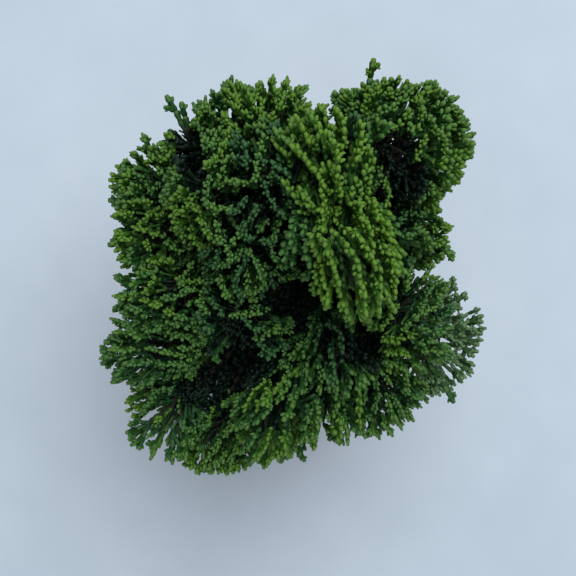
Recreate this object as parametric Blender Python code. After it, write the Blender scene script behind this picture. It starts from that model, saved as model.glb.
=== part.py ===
"""A potted dwarf cypress: pot, potting mix, trunk, boughs and masses of fan-shaped sprays.

Metres, +Z up. The origin is the middle of the pot's flat underside. +X is the plant's right
and -Y its front. A bearing is turned from +X towards +Y, and a lift is turned up from level.
"""

import math
import random
from collections import namedtuple

import bmesh
import bpy
from mathutils import Matrix, Vector

SEED = 41
SEAT_GAP = 0.0003
SMOOTH_ANGLE = math.radians(42)
MERGE_DISTANCE = 1e-6

# Pot
POT_HEIGHT = 0.105
POT_RIM_RADIUS = 0.0625
POT_BAND_RADIUS = 0.0605
POT_BAND_DEPTH = 0.024
POT_NECK_RADIUS = 0.0572
POT_FOOT_RADIUS = 0.0425
POT_WALL = 0.0055
POT_FLOOR = 0.0070
POT_EDGE = 0.0018
POT_SEGMENTS = 30
DRAIN_HOLES = 3
DRAIN_RADIUS = 0.0055
DRAIN_CIRCLE = 0.0230
DRAIN_BEARING = 30
DRAIN_SEGMENTS = 12

# Potting mix
MIX_LEVEL = 0.0920
MIX_RINGS = 4
MIX_SEGMENTS = 18
MIX_CRUMB = 0.0009
MIX_HOLLOW = 0.0018
MIX_LEVEL_ROUND_TRUNK = 0.0145
MIX_LEVEL_AT_WALL = 0.0500

# Trunk
TRUNK_FOOT = Vector((0.0, 0.0, MIX_LEVEL + SEAT_GAP))
TRUNK_TIP = Vector((0.0165, 0.0085, 0.2060))
TRUNK_LEAN_CURVE = 1.25
TRUNK_BOW = 0.0050
TRUNK_RADIUS = 0.0058
TRUNK_TIP_RADIUS = 0.0022
FLARE = 0.60
FLARE_HEIGHT = 0.0065
FLARE_LOBES = 5
FLARE_LOBE_DEPTH = 0.16
TRUNK_RINGS = 10
TRUNK_RING_CURVE = 1.3
TRUNK_SIDES = 10

# Boughs
BOUGH_TRUNK_SHARE = 0.50
BOUGH_LEAST_RADIUS = 0.0015
BOUGH_TIP_RADIUS = 0.0012
BOUGH_TIP_GAP = 0.0006
BOUGH_COLLAR = 1.30
BOUGH_LEVEL_STRETCH = 0.0015
BOUGH_HANDLE = 0.35
BOUGH_DROP = 0.30
BOUGH_LOWEST = 0.1385
BOUGH_HIGHEST = 0.1995
BOUGH_STEP = 0.0015
BOUGH_CLEARANCE = 0.0010
BOUGH_POINTS = 6
BOUGH_BEVEL_RESOLUTION = 1
STEM_RADIUS = 0.0012
STEM_DROP = 0.22
GAP_SAMPLES = 4

# Masses and their sprays
BLADE_THICKNESS = 0.0018
SPACE_CLEARANCE = 0.0004
LEAST_CLOSING = 1e-6
LOWEST_FOLIAGE = POT_HEIGHT + 0.004
HUB_SHARE = 0.50
CORE_SHARE = 0.52
CAP_ANGLE = math.radians(112)
GOLDEN_TURN = math.pi * (3 - math.sqrt(5))
TURN_JITTER = 0.2
TWIST_JITTER = math.radians(35)
SPREADS = (math.radians(38), math.radians(46))
TOOTH_COUNT = 5
TIP_SHARES = (0.94, 1.0)
NOTCH_SHARE = 0.87
LEAST_TOOTH = 1.8
ROOT_SHARE = 0.38
ROOT_WIDTH = 0.20
SHORTEST_SPRAY = 0.0070
TWIG_STARTS = (0.45, 1.0)
TWIG_SINK = 0.14
TWIG_RADIUS = 0.0009
TWIG_BASE = 1.3
DRAWS = 30
SHORT_EDGE = 4e-6
GRAZE_DISTANCE = 2e-6
FOLD_ANGLE = math.radians(179)

Ring = namedtuple("Ring", "centre radius")
Spray = namedtuple("Spray", "way side spread")

# One mass of foliage. Its middle is at a bearing, a distance out from the pot's axis and a
# height. Its axis has a bearing and a lift, and half sizes along it, across it and through it.
Mass = namedtuple("Mass", "bearing out height axis_bearing lift along across through sprays")

MASSES = {
    "crest_back": Mass(69, 0.0455, 0.236, 92, 75, 0.030, 0.018, 0.022, 7),
    "crest": Mass(6, 0.0230, 0.236, -60, 75, 0.033, 0.019, 0.025, 8),
    "back_right": Mass(50, 0.0675, 0.222, 60, 45, 0.029, 0.031, 0.026, 8),
    "back_sprig": Mass(65, 0.0755, 0.206, 84, 45, 0.020, 0.011, 0.012, 4),
    "back": Mass(99, 0.0600, 0.200, 85, 50, 0.026, 0.025, 0.019, 7),
    "back_left": Mass(117, 0.0650, 0.196, 110, 45, 0.022, 0.015, 0.017, 6),
    "left_sprig": Mass(127, 0.0735, 0.186, 126, 40, 0.018, 0.009, 0.011, 3),
    "left_back": Mass(146, 0.0690, 0.180, 150, 40, 0.023, 0.021, 0.020, 7),
    "heart_left": Mass(135, 0.0415, 0.218, 140, 65, 0.026, 0.019, 0.019, 6),
    "heart_back": Mass(103, 0.0330, 0.224, 110, 75, 0.026, 0.015, 0.020, 6),
    "heart_right": Mass(22, 0.0410, 0.200, 22, 40, 0.022, 0.018, 0.019, 6),
    "left": Mass(162, 0.0585, 0.190, 172, 35, 0.025, 0.018, 0.019, 7),
    "left_middle": Mass(-169, 0.0510, 0.190, 187, 35, 0.029, 0.018, 0.019, 7),
    "left_front": Mass(-150, 0.0680, 0.180, 200, 30, 0.026, 0.016, 0.018, 7),
    "open_corner": Mass(-130, 0.0830, 0.168, 225, 20, 0.025, 0.019, 0.015, 6),
    "front_left": Mass(-113, 0.0805, 0.158, 255, 30, 0.021, 0.021, 0.018, 7),
    "front": Mass(-96, 0.0575, 0.186, 262, 45, 0.030, 0.019, 0.021, 7),
    "front_inner": Mass(-75, 0.0600, 0.178, 277, 40, 0.026, 0.018, 0.019, 7),
    "front_right": Mass(-53, 0.0670, 0.168, 313, 35, 0.025, 0.021, 0.018, 7),
    "right_front": Mass(-18, 0.0580, 0.190, 348, 40, 0.027, 0.025, 0.022, 7),
    "far_right": Mass(-26, 0.0755, 0.150, 334, 5, 0.024, 0.030, 0.016, 6),
    "right": Mass(19, 0.0545, 0.188, 10, 30, 0.024, 0.021, 0.020, 7),
    "heart": Mass(138, 0.0175, 0.212, 120, 75, 0.027, 0.020, 0.018, 6),
    "inner_left": Mass(-137, 0.0285, 0.196, 225, 65, 0.026, 0.018, 0.017, 5),
    "inner_right": Mass(-58, 0.0390, 0.192, 300, 65, 0.026, 0.016, 0.015, 5),
    "under_back_right": Mass(50, 0.0520, 0.176, 50, 30, 0.026, 0.026, 0.021, 5),
    "under_back": Mass(96, 0.0500, 0.166, 96, 25, 0.025, 0.022, 0.018, 5),
    "low_right": Mass(22, 0.0480, 0.132, 22, 10, 0.027, 0.023, 0.021, 5),
    "low_back": Mass(75, 0.0450, 0.132, 75, 10, 0.027, 0.023, 0.021, 5),
    "low_back_left": Mass(128, 0.0470, 0.132, 128, 10, 0.027, 0.023, 0.021, 5),
    "low_left": Mass(180, 0.0480, 0.132, 180, 10, 0.027, 0.023, 0.021, 5),
    "low_front_left": Mass(-131, 0.0510, 0.131, 229, 10, 0.028, 0.022, 0.021, 5),
    "low_front": Mass(-83, 0.0490, 0.130, 277, 10, 0.027, 0.022, 0.021, 5),
    "low_front_right": Mass(-36, 0.0470, 0.128, 324, 5, 0.026, 0.022, 0.019, 5),
}

# These masses sit so near the trunk that their stems start from it with no bough between.
ON_TRUNK = (
    "crest", "heart", "heart_back", "heart_right", "inner_left",
    "low_right", "low_back", "low_back_left", "low_left", "low_front_left", "low_front",
    "low_front_right",
)
# These are loose enough to have no dense core.
OPEN_MASSES = ("back_sprig", "left_sprig", "open_corner", "far_right")

# Finishes: colour, roughness
FINISHES = {
    "clay": ((0.50, 0.23, 0.13), 0.85),
    "mix": ((0.060, 0.040, 0.028), 0.95),
    "bark": ((0.19, 0.11, 0.07), 0.90),
    "bright": ((0.16, 0.30, 0.05), 0.55),
    "fresh": ((0.09, 0.20, 0.045), 0.60),
    "deep": ((0.05, 0.13, 0.04), 0.60),
}
BRIGHT_MASSES = ("crest", "crest_back")
DEEP_MASSES = ("heart", "inner_left", "inner_right", "heart_back", "heart_right", "open_corner")


def clear_scene():
    for obj in list(bpy.data.objects):
        bpy.data.objects.remove(obj, do_unlink=True)


def finish(name):
    """The Principled material of this name, made once."""
    material = bpy.data.materials.get(name)
    if material is None:
        colour, roughness = FINISHES[name]
        material = bpy.data.materials.new(name)
        material.use_nodes = True
        shader = material.node_tree.nodes["Principled BSDF"]
        shader.inputs["Base Color"].default_value = (*colour, 1.0)
        shader.inputs["Roughness"].default_value = roughness
        shader.inputs["Metallic"].default_value = 0.0
    return material


def add_object(name, data, finish_name, smooth=False):
    obj = bpy.data.objects.new(name, data)
    bpy.context.scene.collection.objects.link(obj)
    data.materials.append(finish(finish_name))
    if smooth:
        data.shade_smooth()
        data.set_sharp_from_angle(angle=SMOOTH_ANGLE)
    return obj


def mesh_from(bm, name):
    mesh = bpy.data.meshes.new(name)
    bmesh.ops.recalc_face_normals(bm, faces=bm.faces)
    bm.to_mesh(mesh)
    bm.free()
    return mesh


def direction(bearing_deg, lift_deg):
    bearing, lift = math.radians(bearing_deg), math.radians(lift_deg)
    return Vector((
        math.cos(bearing) * math.cos(lift),
        math.sin(bearing) * math.cos(lift),
        math.sin(lift),
    ))


# Pot and potting mix


def turned(profile, segments):
    """A closed solid turned from a profile of (radius, height) that starts and ends on the axis."""
    bm = bmesh.new()
    verts = [bm.verts.new((radius, 0.0, height)) for radius, height in profile]
    edges = [bm.edges.new(pair) for pair in zip(verts, verts[1:])]
    bmesh.ops.spin(
        bm, geom=verts + edges, cent=(0, 0, 0), axis=(0, 0, 1),
        angle=math.tau, steps=segments, use_merge=True,
    )
    bmesh.ops.remove_doubles(bm, verts=bm.verts, dist=MERGE_DISTANCE)
    return bm


def pot_profile():
    """Up the outside from the middle of the underside, over the rim and down the inside."""
    inner_rim = POT_BAND_RADIUS - POT_WALL
    inner_foot = POT_FOOT_RADIUS - POT_WALL
    band_foot = POT_HEIGHT - POT_BAND_DEPTH
    return [
        (0.0, 0.0),
        (POT_FOOT_RADIUS - POT_EDGE, 0.0),
        (POT_FOOT_RADIUS, POT_EDGE),
        (POT_NECK_RADIUS, band_foot - POT_EDGE),
        (POT_BAND_RADIUS, band_foot + POT_EDGE / 2),
        (POT_RIM_RADIUS, POT_HEIGHT - 2 * POT_EDGE),
        (POT_RIM_RADIUS - POT_EDGE / 2, POT_HEIGHT - POT_EDGE / 2),
        (POT_RIM_RADIUS - POT_WALL / 2, POT_HEIGHT),
        (inner_rim + POT_EDGE, POT_HEIGHT - POT_EDGE / 2),
        (inner_rim, POT_HEIGHT - 2 * POT_EDGE),
        (inner_foot, POT_FLOOR + POT_EDGE),
        (inner_foot - POT_EDGE, POT_FLOOR),
        (0.0, POT_FLOOR),
    ]


def inner_radius(height):
    """The radius of the pot's inner wall at a height."""
    low, high = POT_FLOOR + POT_EDGE, POT_HEIGHT - 2 * POT_EDGE
    share = (height - low) / (high - low)
    inner_foot, inner_rim = POT_FOOT_RADIUS - POT_WALL, POT_BAND_RADIUS - POT_WALL
    return inner_foot + share * (inner_rim - inner_foot)


def build_pot():
    mesh = mesh_from(turned(pot_profile(), POT_SEGMENTS), "pot")
    pot = add_object("pot", mesh, "clay", smooth=True)
    drains = bmesh.new()
    for hole in range(DRAIN_HOLES):
        at = direction(360 * hole / DRAIN_HOLES + DRAIN_BEARING, 0) * DRAIN_CIRCLE
        bmesh.ops.create_cone(
            drains, cap_ends=True, segments=DRAIN_SEGMENTS, radius1=DRAIN_RADIUS, radius2=DRAIN_RADIUS,
            depth=4 * POT_FLOOR, matrix=Matrix.Translation(at),
        )
    cutter = add_object("drain_cutter", mesh_from(drains, "drain_cutter"), "clay")
    cutter.hide_render = True
    cutter.display_type = "WIRE"
    cut = pot.modifiers.new("drains", "BOOLEAN")
    cut.operation = "DIFFERENCE"
    cut.object = cutter


def build_mix():
    """The filling of mix, its sides a seat's gap inside the pot and its top in low crumbs."""
    rng = random.Random(SEED)
    floor = POT_FLOOR + SEAT_GAP
    level_radius = inner_radius(MIX_LEVEL) - 2 * SEAT_GAP
    side = [(0.0, floor), (inner_radius(floor + POT_EDGE) - POT_EDGE, floor)]
    top = [(level_radius * (MIX_RINGS - ring) / MIX_RINGS, MIX_LEVEL) for ring in range(MIX_RINGS + 1)]
    bm = turned(side + top, MIX_SEGMENTS)
    for vert in bm.verts:
        on_top = vert.co.z > floor + POT_EDGE
        if on_top and MIX_LEVEL_ROUND_TRUNK < vert.co.xy.length < MIX_LEVEL_AT_WALL:
            vert.co.z += rng.uniform(-MIX_HOLLOW, MIX_CRUMB)
    add_object("potting_mix", mesh_from(bm, "potting_mix"), "mix")


# Trunk and boughs


def trunk_share(height):
    return (height - TRUNK_FOOT.z) / (TRUNK_TIP.z - TRUNK_FOOT.z)


def trunk_ring(share):
    """The trunk at a share of its height: it leaves the mix upright, bows and leans to its tip."""
    lean = share ** TRUNK_LEAN_CURVE
    bow = TRUNK_BOW * math.sin(math.pi * share) ** 2
    centre = TRUNK_FOOT.lerp(TRUNK_TIP, share)
    centre.x = TRUNK_FOOT.x + (TRUNK_TIP.x - TRUNK_FOOT.x) * lean
    centre.y = TRUNK_FOOT.y + (TRUNK_TIP.y - TRUNK_FOOT.y) * lean - bow
    flare = FLARE * math.exp(-(centre.z - TRUNK_FOOT.z) / FLARE_HEIGHT)
    return Ring(centre, (TRUNK_RADIUS + (TRUNK_TIP_RADIUS - TRUNK_RADIUS) * share) * (1 + flare))


def build_trunk():
    """Rings of vertices up the axis, flat at the foot, with buttress lobes in the root flare."""
    bm = bmesh.new()
    below = None
    for ring in range(TRUNK_RINGS + 1):
        centre, radius = trunk_ring((ring / TRUNK_RINGS) ** TRUNK_RING_CURVE)
        fade = math.exp(-(centre.z - TRUNK_FOOT.z) / FLARE_HEIGHT)
        loop = bmesh.ops.create_circle(
            bm, cap_ends=ring in (0, TRUNK_RINGS), segments=TRUNK_SIDES, radius=radius,
            matrix=Matrix.Translation(centre),
        )["verts"]
        for vert in loop:
            spoke = vert.co - centre
            turn = math.atan2(spoke.y, spoke.x)
            lobes = 1 + FLARE_LOBE_DEPTH * fade * math.cos(FLARE_LOBES * turn)
            vert.co = centre + spoke * lobes
        if below:
            sides = [edge for edge in bm.edges if all(v in below or v in loop for v in edge.verts)]
            bmesh.ops.bridge_loops(bm, edges=sides)
        below = loop
    add_object("trunk", mesh_from(bm, "trunk"), "bark", smooth=True)


def bezier(points, share):
    a, b, c, d = points
    back = 1 - share
    return a * back ** 3 + b * (3 * back * back * share) + c * (3 * back * share * share) + d * share ** 3


def trunk_face(height, out, half_height):
    """How far out from its axis at a height the trunk reaches, over a band round that height."""
    corner_turn = math.tau / TRUNK_SIDES
    past_corner = (math.atan2(out.y, out.x) - math.pi / 2) % corner_turn
    side_share = math.cos(min(past_corner, corner_turn - past_corner))
    middle = trunk_ring(trunk_share(height)).centre
    reaches = []
    for level in (height - half_height, height, height + half_height):
        ring = trunk_ring(min(max(trunk_share(level), 0.0), 1.0))
        reaches.append((ring.centre - middle).dot(out) + ring.radius * side_share)
    return max(reaches)


def bough_rings(height, foot, axis):
    """A bough that leaves the trunk level at a height and meets a mass's foot along its axis."""
    middle, trunk_radius = trunk_ring(trunk_share(height))
    radius = max(trunk_radius * BOUGH_TRUNK_SHARE, BOUGH_LEAST_RADIUS)
    out = Vector((foot.x - middle.x, foot.y - middle.y, 0.0)).normalized()
    start = middle + out * (trunk_face(height, out, radius * BOUGH_COLLAR) + SEAT_GAP)
    bend = start + out * BOUGH_LEVEL_STRETCH
    end = foot - axis * BOUGH_TIP_GAP
    handle = (end - bend).length * BOUGH_HANDLE
    handles = (bend, bend + out * handle, end - axis * handle, end)
    rings = [Ring(start, radius * BOUGH_COLLAR)]
    for point in range(BOUGH_POINTS - 1):
        share = point / (BOUGH_POINTS - 2)
        rings.append(Ring(bezier(handles, share), radius + (BOUGH_TIP_RADIUS - radius) * share))
    return rings


def samples(limb):
    """Rings set closely along a limb, between the rings that it is made of."""
    fine = []
    for a, b in zip(limb, limb[1:]):
        for step in range(GAP_SAMPLES + 1):
            share = step / GAP_SAMPLES
            fine.append(Ring(a.centre.lerp(b.centre, share), a.radius + (b.radius - a.radius) * share))
    return fine


def gap_between(first, second):
    return min((a.centre - b.centre).length - a.radius - b.radius for a in first for b in second)


def place_boughs(feet, stems):
    """Starts each bough at the height nearest its natural one at which it clears what is there."""
    levels = int((BOUGH_HIGHEST - BOUGH_LOWEST) / BOUGH_STEP)
    taken = [samples(stem) for stem in stems]
    boughs = {}
    for name, (foot, axis) in sorted(feet.items(), key=lambda item: item[1][0].z):
        natural = foot.z - BOUGH_DROP * foot.xy.length
        heights = [BOUGH_LOWEST + BOUGH_STEP * level for level in range(levels + 1)]
        heights.sort(key=lambda height: abs(height - natural))
        choices = [bough_rings(height, foot, axis) for height in heights]
        boughs[name] = max(choices, key=lambda rings: min(
            BOUGH_CLEARANCE, *(gap_between(samples(rings), other) for other in taken)
        ))
        taken.append(samples(boughs[name]))
    return boughs


def build_bough(name, rings):
    curve = bpy.data.curves.new(name, "CURVE")
    curve.dimensions = "3D"
    curve.bevel_depth = 1.0
    curve.bevel_resolution = BOUGH_BEVEL_RESOLUTION
    curve.use_fill_caps = True
    spline = curve.splines.new("POLY")
    spline.points.add(len(rings) - 1)
    for point, ring in zip(spline.points, rings):
        point.co = (*ring.centre, 1.0)
        point.radius = ring.radius
    add_object(name, curve, "bark")


# The space that each mass keeps to


class Space:
    """A mass's own space: an ellipsoid cut by flat bounds against its neighbours and the limbs."""

    def __init__(self, mass):
        self.mass = mass
        self.middle = direction(mass.bearing, 0) * mass.out + Vector((0, 0, mass.height))
        self.axis = direction(mass.axis_bearing, mass.lift)
        self.across = direction(mass.axis_bearing + 90, 0)
        self.through = self.axis.cross(self.across)
        self.sizes = (mass.along, mass.across, mass.through)
        self.hub = self.middle - self.axis * mass.along * HUB_SHARE
        self.bounds = []
        self.bound_by(Vector((0, 0, LOWEST_FOLIAGE)), Vector((0, 0, 1)), 0.0)

    def support(self, way):
        """How far the ellipsoid reaches from its middle along a unit direction."""
        axes = (self.axis, self.across, self.through)
        return math.sqrt(sum((way.dot(axis) * size) ** 2 for axis, size in zip(axes, self.sizes)))

    def bound_by(self, point, inward, clearance):
        self.bounds.append((point, inward, clearance + BLADE_THICKNESS / 2 + SPACE_CLEARANCE))

    def bound_by_limb(self, limb):
        """Flat bounds that keep the space clear of each stretch of a limb."""
        for a, b in zip(limb, limb[1:]):
            stretch = b.centre - a.centre
            share = (self.middle - a.centre).dot(stretch) / stretch.length_squared
            nearest = a.centre.lerp(b.centre, max(0.0, min(1.0, share)))
            self.bound_by(nearest, (self.middle - nearest).normalized(), a.radius)

    def room(self, way):
        """How far a ray from the hub can go before it leaves the space."""
        axes = (self.axis, self.across, self.through)
        offset = self.hub - self.middle
        p = [offset.dot(axis) / size for axis, size in zip(axes, self.sizes)]
        q = [way.dot(axis) / size for axis, size in zip(axes, self.sizes)]
        qq = sum(x * x for x in q)
        pq = sum(x * y for x, y in zip(p, q))
        pp = sum(x * x for x in p) - 1
        reach = (math.sqrt(max(pq * pq - qq * pp, 0.0)) - pq) / qq
        for point, inward, clearance in self.bounds:
            closing = -way.dot(inward)
            if closing > LEAST_CLOSING:
                reach = min(reach, ((self.hub - point).dot(inward) - clearance) / closing)
        return max(reach, 0.0)


def share_out(spaces):
    """A flat bound between each two masses, nearer the one that reaches less far that way."""
    named = list(spaces.values())
    for i, first in enumerate(named):
        for second in named[i + 1:]:
            between = second.middle - first.middle
            way = between.normalized()
            mine, theirs = first.support(way), second.support(way)
            place = first.middle + between * (mine / (mine + theirs))
            first.bound_by(place, -way, 0.0)
            second.bound_by(place, way, 0.0)


def stem_foot_on_trunk(hub):
    """Where a stem that has no bough starts, clear of the trunk's side or of its tip."""
    height = hub.z - STEM_DROP * hub.xy.length
    if height > TRUNK_TIP.z:
        tilt = (hub - TRUNK_TIP).normalized().xy.length
        return TRUNK_TIP + Vector((0, 0, SEAT_GAP + STEM_RADIUS * tilt))
    middle = trunk_ring(trunk_share(height)).centre
    way = (hub - middle).normalized()
    out = Vector((way.x, way.y, 0.0)).normalized()
    clear = trunk_face(height, out, STEM_RADIUS) + STEM_RADIUS * way.z + SEAT_GAP
    return middle + way * clear / way.xy.length


def lay_out_crown():
    """The spaces, the foot of each mass's stem, and the boughs that carry them."""
    spaces = {name: Space(mass) for name, mass in MASSES.items()}
    share_out(spaces)
    trunk = [trunk_ring(ring / TRUNK_RINGS) for ring in range(TRUNK_RINGS + 1)]
    trunk = [Ring(centre, radius * (1 + FLARE_LOBE_DEPTH)) for centre, radius in trunk]
    for name, space in spaces.items():
        space.bound_by_limb(trunk)
        if name in ON_TRUNK:
            space.foot = stem_foot_on_trunk(space.hub)
        else:
            back = min(space.room(-space.axis), space.mass.along * (1 - HUB_SHARE))
            space.foot = space.hub - space.axis * max(back - STEM_RADIUS, 0.0)
    feet = {name: (space.foot, space.axis) for name, space in spaces.items() if name not in ON_TRUNK}
    stems = [[Ring(spaces[name].foot, STEM_RADIUS), Ring(spaces[name].hub, STEM_RADIUS)]
             for name in ON_TRUNK]
    boughs = place_boughs(feet, stems)
    for bough in boughs.values():
        for space in spaces.values():
            space.bound_by_limb(bough)
    return spaces, boughs


# Foliage


def sprays_of(space, rng):
    """Fans spread evenly over a cap round the mass's axis, standing like the pages of a book."""
    sprays = []
    count = space.mass.sprays
    for number in range(count):
        polar = math.acos(1 - number / (count - 0.5) * (1 - math.cos(CAP_ANGLE)))
        turn = number * GOLDEN_TURN + rng.uniform(-TURN_JITTER, TURN_JITTER)
        radial = space.across * math.cos(turn) + space.through * math.sin(turn)
        way = space.axis * math.cos(polar) + radial * math.sin(polar)
        hinge = space.axis.cross(radial)
        twist = rng.uniform(-TWIST_JITTER, TWIST_JITTER)
        side = way.cross(hinge) * math.cos(twist) + hinge * math.sin(twist)
        sprays.append(Spray(way, side, rng.uniform(*SPREADS)))
    return sprays


def ray(spray, angle):
    return spray.way * math.cos(angle) + spray.side * math.sin(angle)


def blade(space, spray, rng):
    """A flat toothed blade, from its narrow root to the tips that its space has room for.

    A tooth that would hardly stand out past the root is left out.
    """
    root = space.room(spray.way) * ROOT_SHARE
    root_angle = spray.spread * ROOT_WIDTH
    pitch = 2 * spray.spread / TOOTH_COUNT
    tips = []
    for tooth in range(TOOTH_COUNT):
        angle = -spray.spread + pitch * (tooth + 0.5)
        tips.append((angle, space.room(ray(spray, angle)) * rng.uniform(*TIP_SHARES)))
    tips = [(angle, length) for angle, length in tips if length > root * LEAST_TOOTH]
    outline = [(-root_angle, root)]
    for (angle, length), after in zip(tips, tips[1:] + [None]):
        outline.append((angle, length))
        if after:
            outline.append((angle + pitch / 2, min(length, after[1]) * NOTCH_SHARE))
    outline.append((root_angle, root))
    normal = spray.way.cross(spray.side).normalized()
    bm = bmesh.new()
    low = [bm.verts.new(space.hub + ray(spray, angle) * length - normal * BLADE_THICKNESS / 2)
           for angle, length in outline]
    face = bm.faces.new(low)
    raised = bmesh.ops.extrude_face_region(bm, geom=[face])["geom"]
    bmesh.ops.translate(
        bm, verts=[item for item in raised if isinstance(item, bmesh.types.BMVert)],
        vec=normal * BLADE_THICKNESS,
    )
    return mesh_from(bm, "blade")


def twig(start, end, start_radius, end_radius):
    """A three-sided twig with flat ends."""
    bm = bmesh.new()
    along = end - start
    turned_to = along.to_track_quat("Z", "Y").to_matrix().to_4x4()
    bmesh.ops.create_cone(
        bm, cap_ends=True, segments=3, radius1=start_radius, radius2=end_radius,
        depth=along.length, matrix=Matrix.Translation((start + end) / 2) @ turned_to,
    )
    return mesh_from(bm, "twig")


def core(space):
    """A small dense heart round the hub, a fixed share of the way out to the mass's bounds."""
    bm = bmesh.new()
    bmesh.ops.create_icosphere(bm, subdivisions=1, radius=1.0)
    for vert in bm.verts:
        way = vert.co.normalized()
        vert.co = space.hub + way * max(space.room(way) * CORE_SHARE, STEM_RADIUS)
    return mesh_from(bm, "core")


def mass_pieces(name, space, rng):
    """The twigs, the blades that they carry and, in a dense mass, a core."""
    pieces = []
    for spray in sprays_of(space, rng):
        reach = space.room(spray.way)
        if reach < SHORTEST_SPRAY:
            continue
        pieces.append(blade(space, spray, rng))
        start = space.foot.lerp(space.hub, rng.uniform(*TWIG_STARTS))
        tip = space.hub + spray.way * reach * (ROOT_SHARE + TWIG_SINK)
        pieces.append(twig(start, tip, TWIG_RADIUS * TWIG_BASE, TWIG_RADIUS))
    if name not in OPEN_MASSES:
        pieces.append(core(space))
    return pieces


def build_mass(name, space):
    """One solid on its own stem. It is drawn again where two blades only graze each other."""
    for attempt in range(DRAWS):
        rng = random.Random(SEED + DRAWS * list(MASSES).index(name) + attempt)
        top = space.hub + (space.hub - space.foot).normalized() * STEM_RADIUS
        stem = twig(space.foot, top, STEM_RADIUS, STEM_RADIUS)
        mesh = fused(stem, mass_pieces(name, space, rng))
        if not grazes(mesh):
            break
    colour = "bright" if name in BRIGHT_MASSES else "deep" if name in DEEP_MASSES else "fresh"
    add_object(name, mesh, colour)


def grazes(mesh):
    """Whether the surface touches itself at a point or along an edge, or is folded flat."""
    bm = bmesh.new()
    bm.from_mesh(mesh)
    doubles = bmesh.ops.find_doubles(bm, verts=bm.verts, dist=GRAZE_DISTANCE)["targetmap"]
    touching = bool(doubles) or not all(vert.is_manifold for vert in bm.verts)
    folded = any(edge.calc_face_angle(0.0) > FOLD_ANGLE for edge in bm.edges)
    bm.free()
    return touching or folded


def keep_main_shell(mesh):
    """Fills any hollow that the union sealed, and drops loose scraps and edges of no length."""
    bm = bmesh.new()
    bm.from_mesh(mesh)
    shells = []
    unseen = set(bm.faces)
    while unseen:
        shell, border = set(), [unseen.pop()]
        while border:
            face = border.pop()
            shell.add(face)
            around = {other for edge in face.edges for other in edge.link_faces} & unseen
            unseen -= around
            border.extend(around)
        shells.append(shell)
    main_shell = max(shells, key=len)
    bmesh.ops.delete(bm, geom=[face for face in bm.faces if face not in main_shell], context="FACES")
    bmesh.ops.dissolve_degenerate(bm, dist=SHORT_EDGE, edges=bm.edges)
    bmesh.ops.triangulate(bm, faces=bm.faces)
    bm.to_mesh(mesh)
    bm.free()


def fused(base, meshes):
    """The base mesh with the others joined to it by one Boolean union, applied."""
    obj = bpy.data.objects.new("base", base)
    extra = bpy.data.collections.new("pieces")
    bpy.context.scene.collection.objects.link(obj)
    bpy.context.scene.collection.children.link(extra)
    for mesh in meshes:
        extra.objects.link(bpy.data.objects.new("piece", mesh))
    union = obj.modifiers.new("union", "BOOLEAN")
    union.operation = "UNION"
    union.operand_type = "COLLECTION"
    union.collection = extra
    union.solver = "MANIFOLD"
    graph = bpy.context.evaluated_depsgraph_get()
    joined = bpy.data.meshes.new_from_object(obj.evaluated_get(graph))
    for piece in [obj, *extra.objects]:
        bpy.data.objects.remove(piece, do_unlink=True)
    bpy.data.collections.remove(extra)
    keep_main_shell(joined)
    return joined


def main():
    clear_scene()
    build_pot()
    build_mix()
    build_trunk()
    spaces, boughs = lay_out_crown()
    for name, rings in boughs.items():
        build_bough("bough_" + name, rings)
    for name, space in spaces.items():
        build_mass(name, space)


main()
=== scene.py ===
"""A potted dwarf cypress: bark, scale-leaf shoots, clay pot and potting mix, on a pale floor.

Metres, +Z up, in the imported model's own frame: the origin is the middle of the pot's underside,
+X the plant's right and -Y its front. The boughs and the spaces of the foliage masses follow
the rule that the solids follow, and each fan of a mass is carried on to its single shoots.
"""

import math
import random
from collections import namedtuple

import bmesh
import bpy
import numpy as np
from bmesh.types import BMEdge, BMFace, BMVert
from mathutils import Matrix, Vector, noise


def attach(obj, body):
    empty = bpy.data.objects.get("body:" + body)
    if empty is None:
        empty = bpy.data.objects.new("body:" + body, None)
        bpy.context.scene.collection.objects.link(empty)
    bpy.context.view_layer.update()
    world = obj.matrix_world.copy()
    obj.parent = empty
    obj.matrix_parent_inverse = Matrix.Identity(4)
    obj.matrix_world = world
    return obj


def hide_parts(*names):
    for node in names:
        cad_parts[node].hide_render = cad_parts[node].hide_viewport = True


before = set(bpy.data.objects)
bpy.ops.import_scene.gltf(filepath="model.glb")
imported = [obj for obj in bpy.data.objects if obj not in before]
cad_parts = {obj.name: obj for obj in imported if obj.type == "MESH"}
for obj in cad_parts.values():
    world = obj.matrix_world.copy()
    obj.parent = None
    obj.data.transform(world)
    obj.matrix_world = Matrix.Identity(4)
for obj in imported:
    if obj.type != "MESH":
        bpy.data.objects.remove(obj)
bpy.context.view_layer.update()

SEED = 41
SEAT_GAP = 0.0003

# Pot
POT_HEIGHT = 0.105
POT_RIM_RADIUS = 0.0625
POT_BAND_RADIUS = 0.0605
POT_BAND_DEPTH = 0.024
POT_NECK_RADIUS = 0.0572
POT_FOOT_RADIUS = 0.0425
POT_WALL = 0.0055
POT_FLOOR = 0.0070
POT_EDGE = 0.0018
POT_SEGMENTS = 120
POT_ROUNDING = 0.0012
POT_ROUNDING_STEPS = 3
POT_ROUNDED_ANGLE = math.radians(20)
SAME_POINT = 1e-6
DRAIN_HOLES = 3
DRAIN_RADIUS = 0.0055
DRAIN_CIRCLE = 0.0230
DRAIN_BEARING = 30
DRAIN_SEGMENTS = 24

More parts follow.
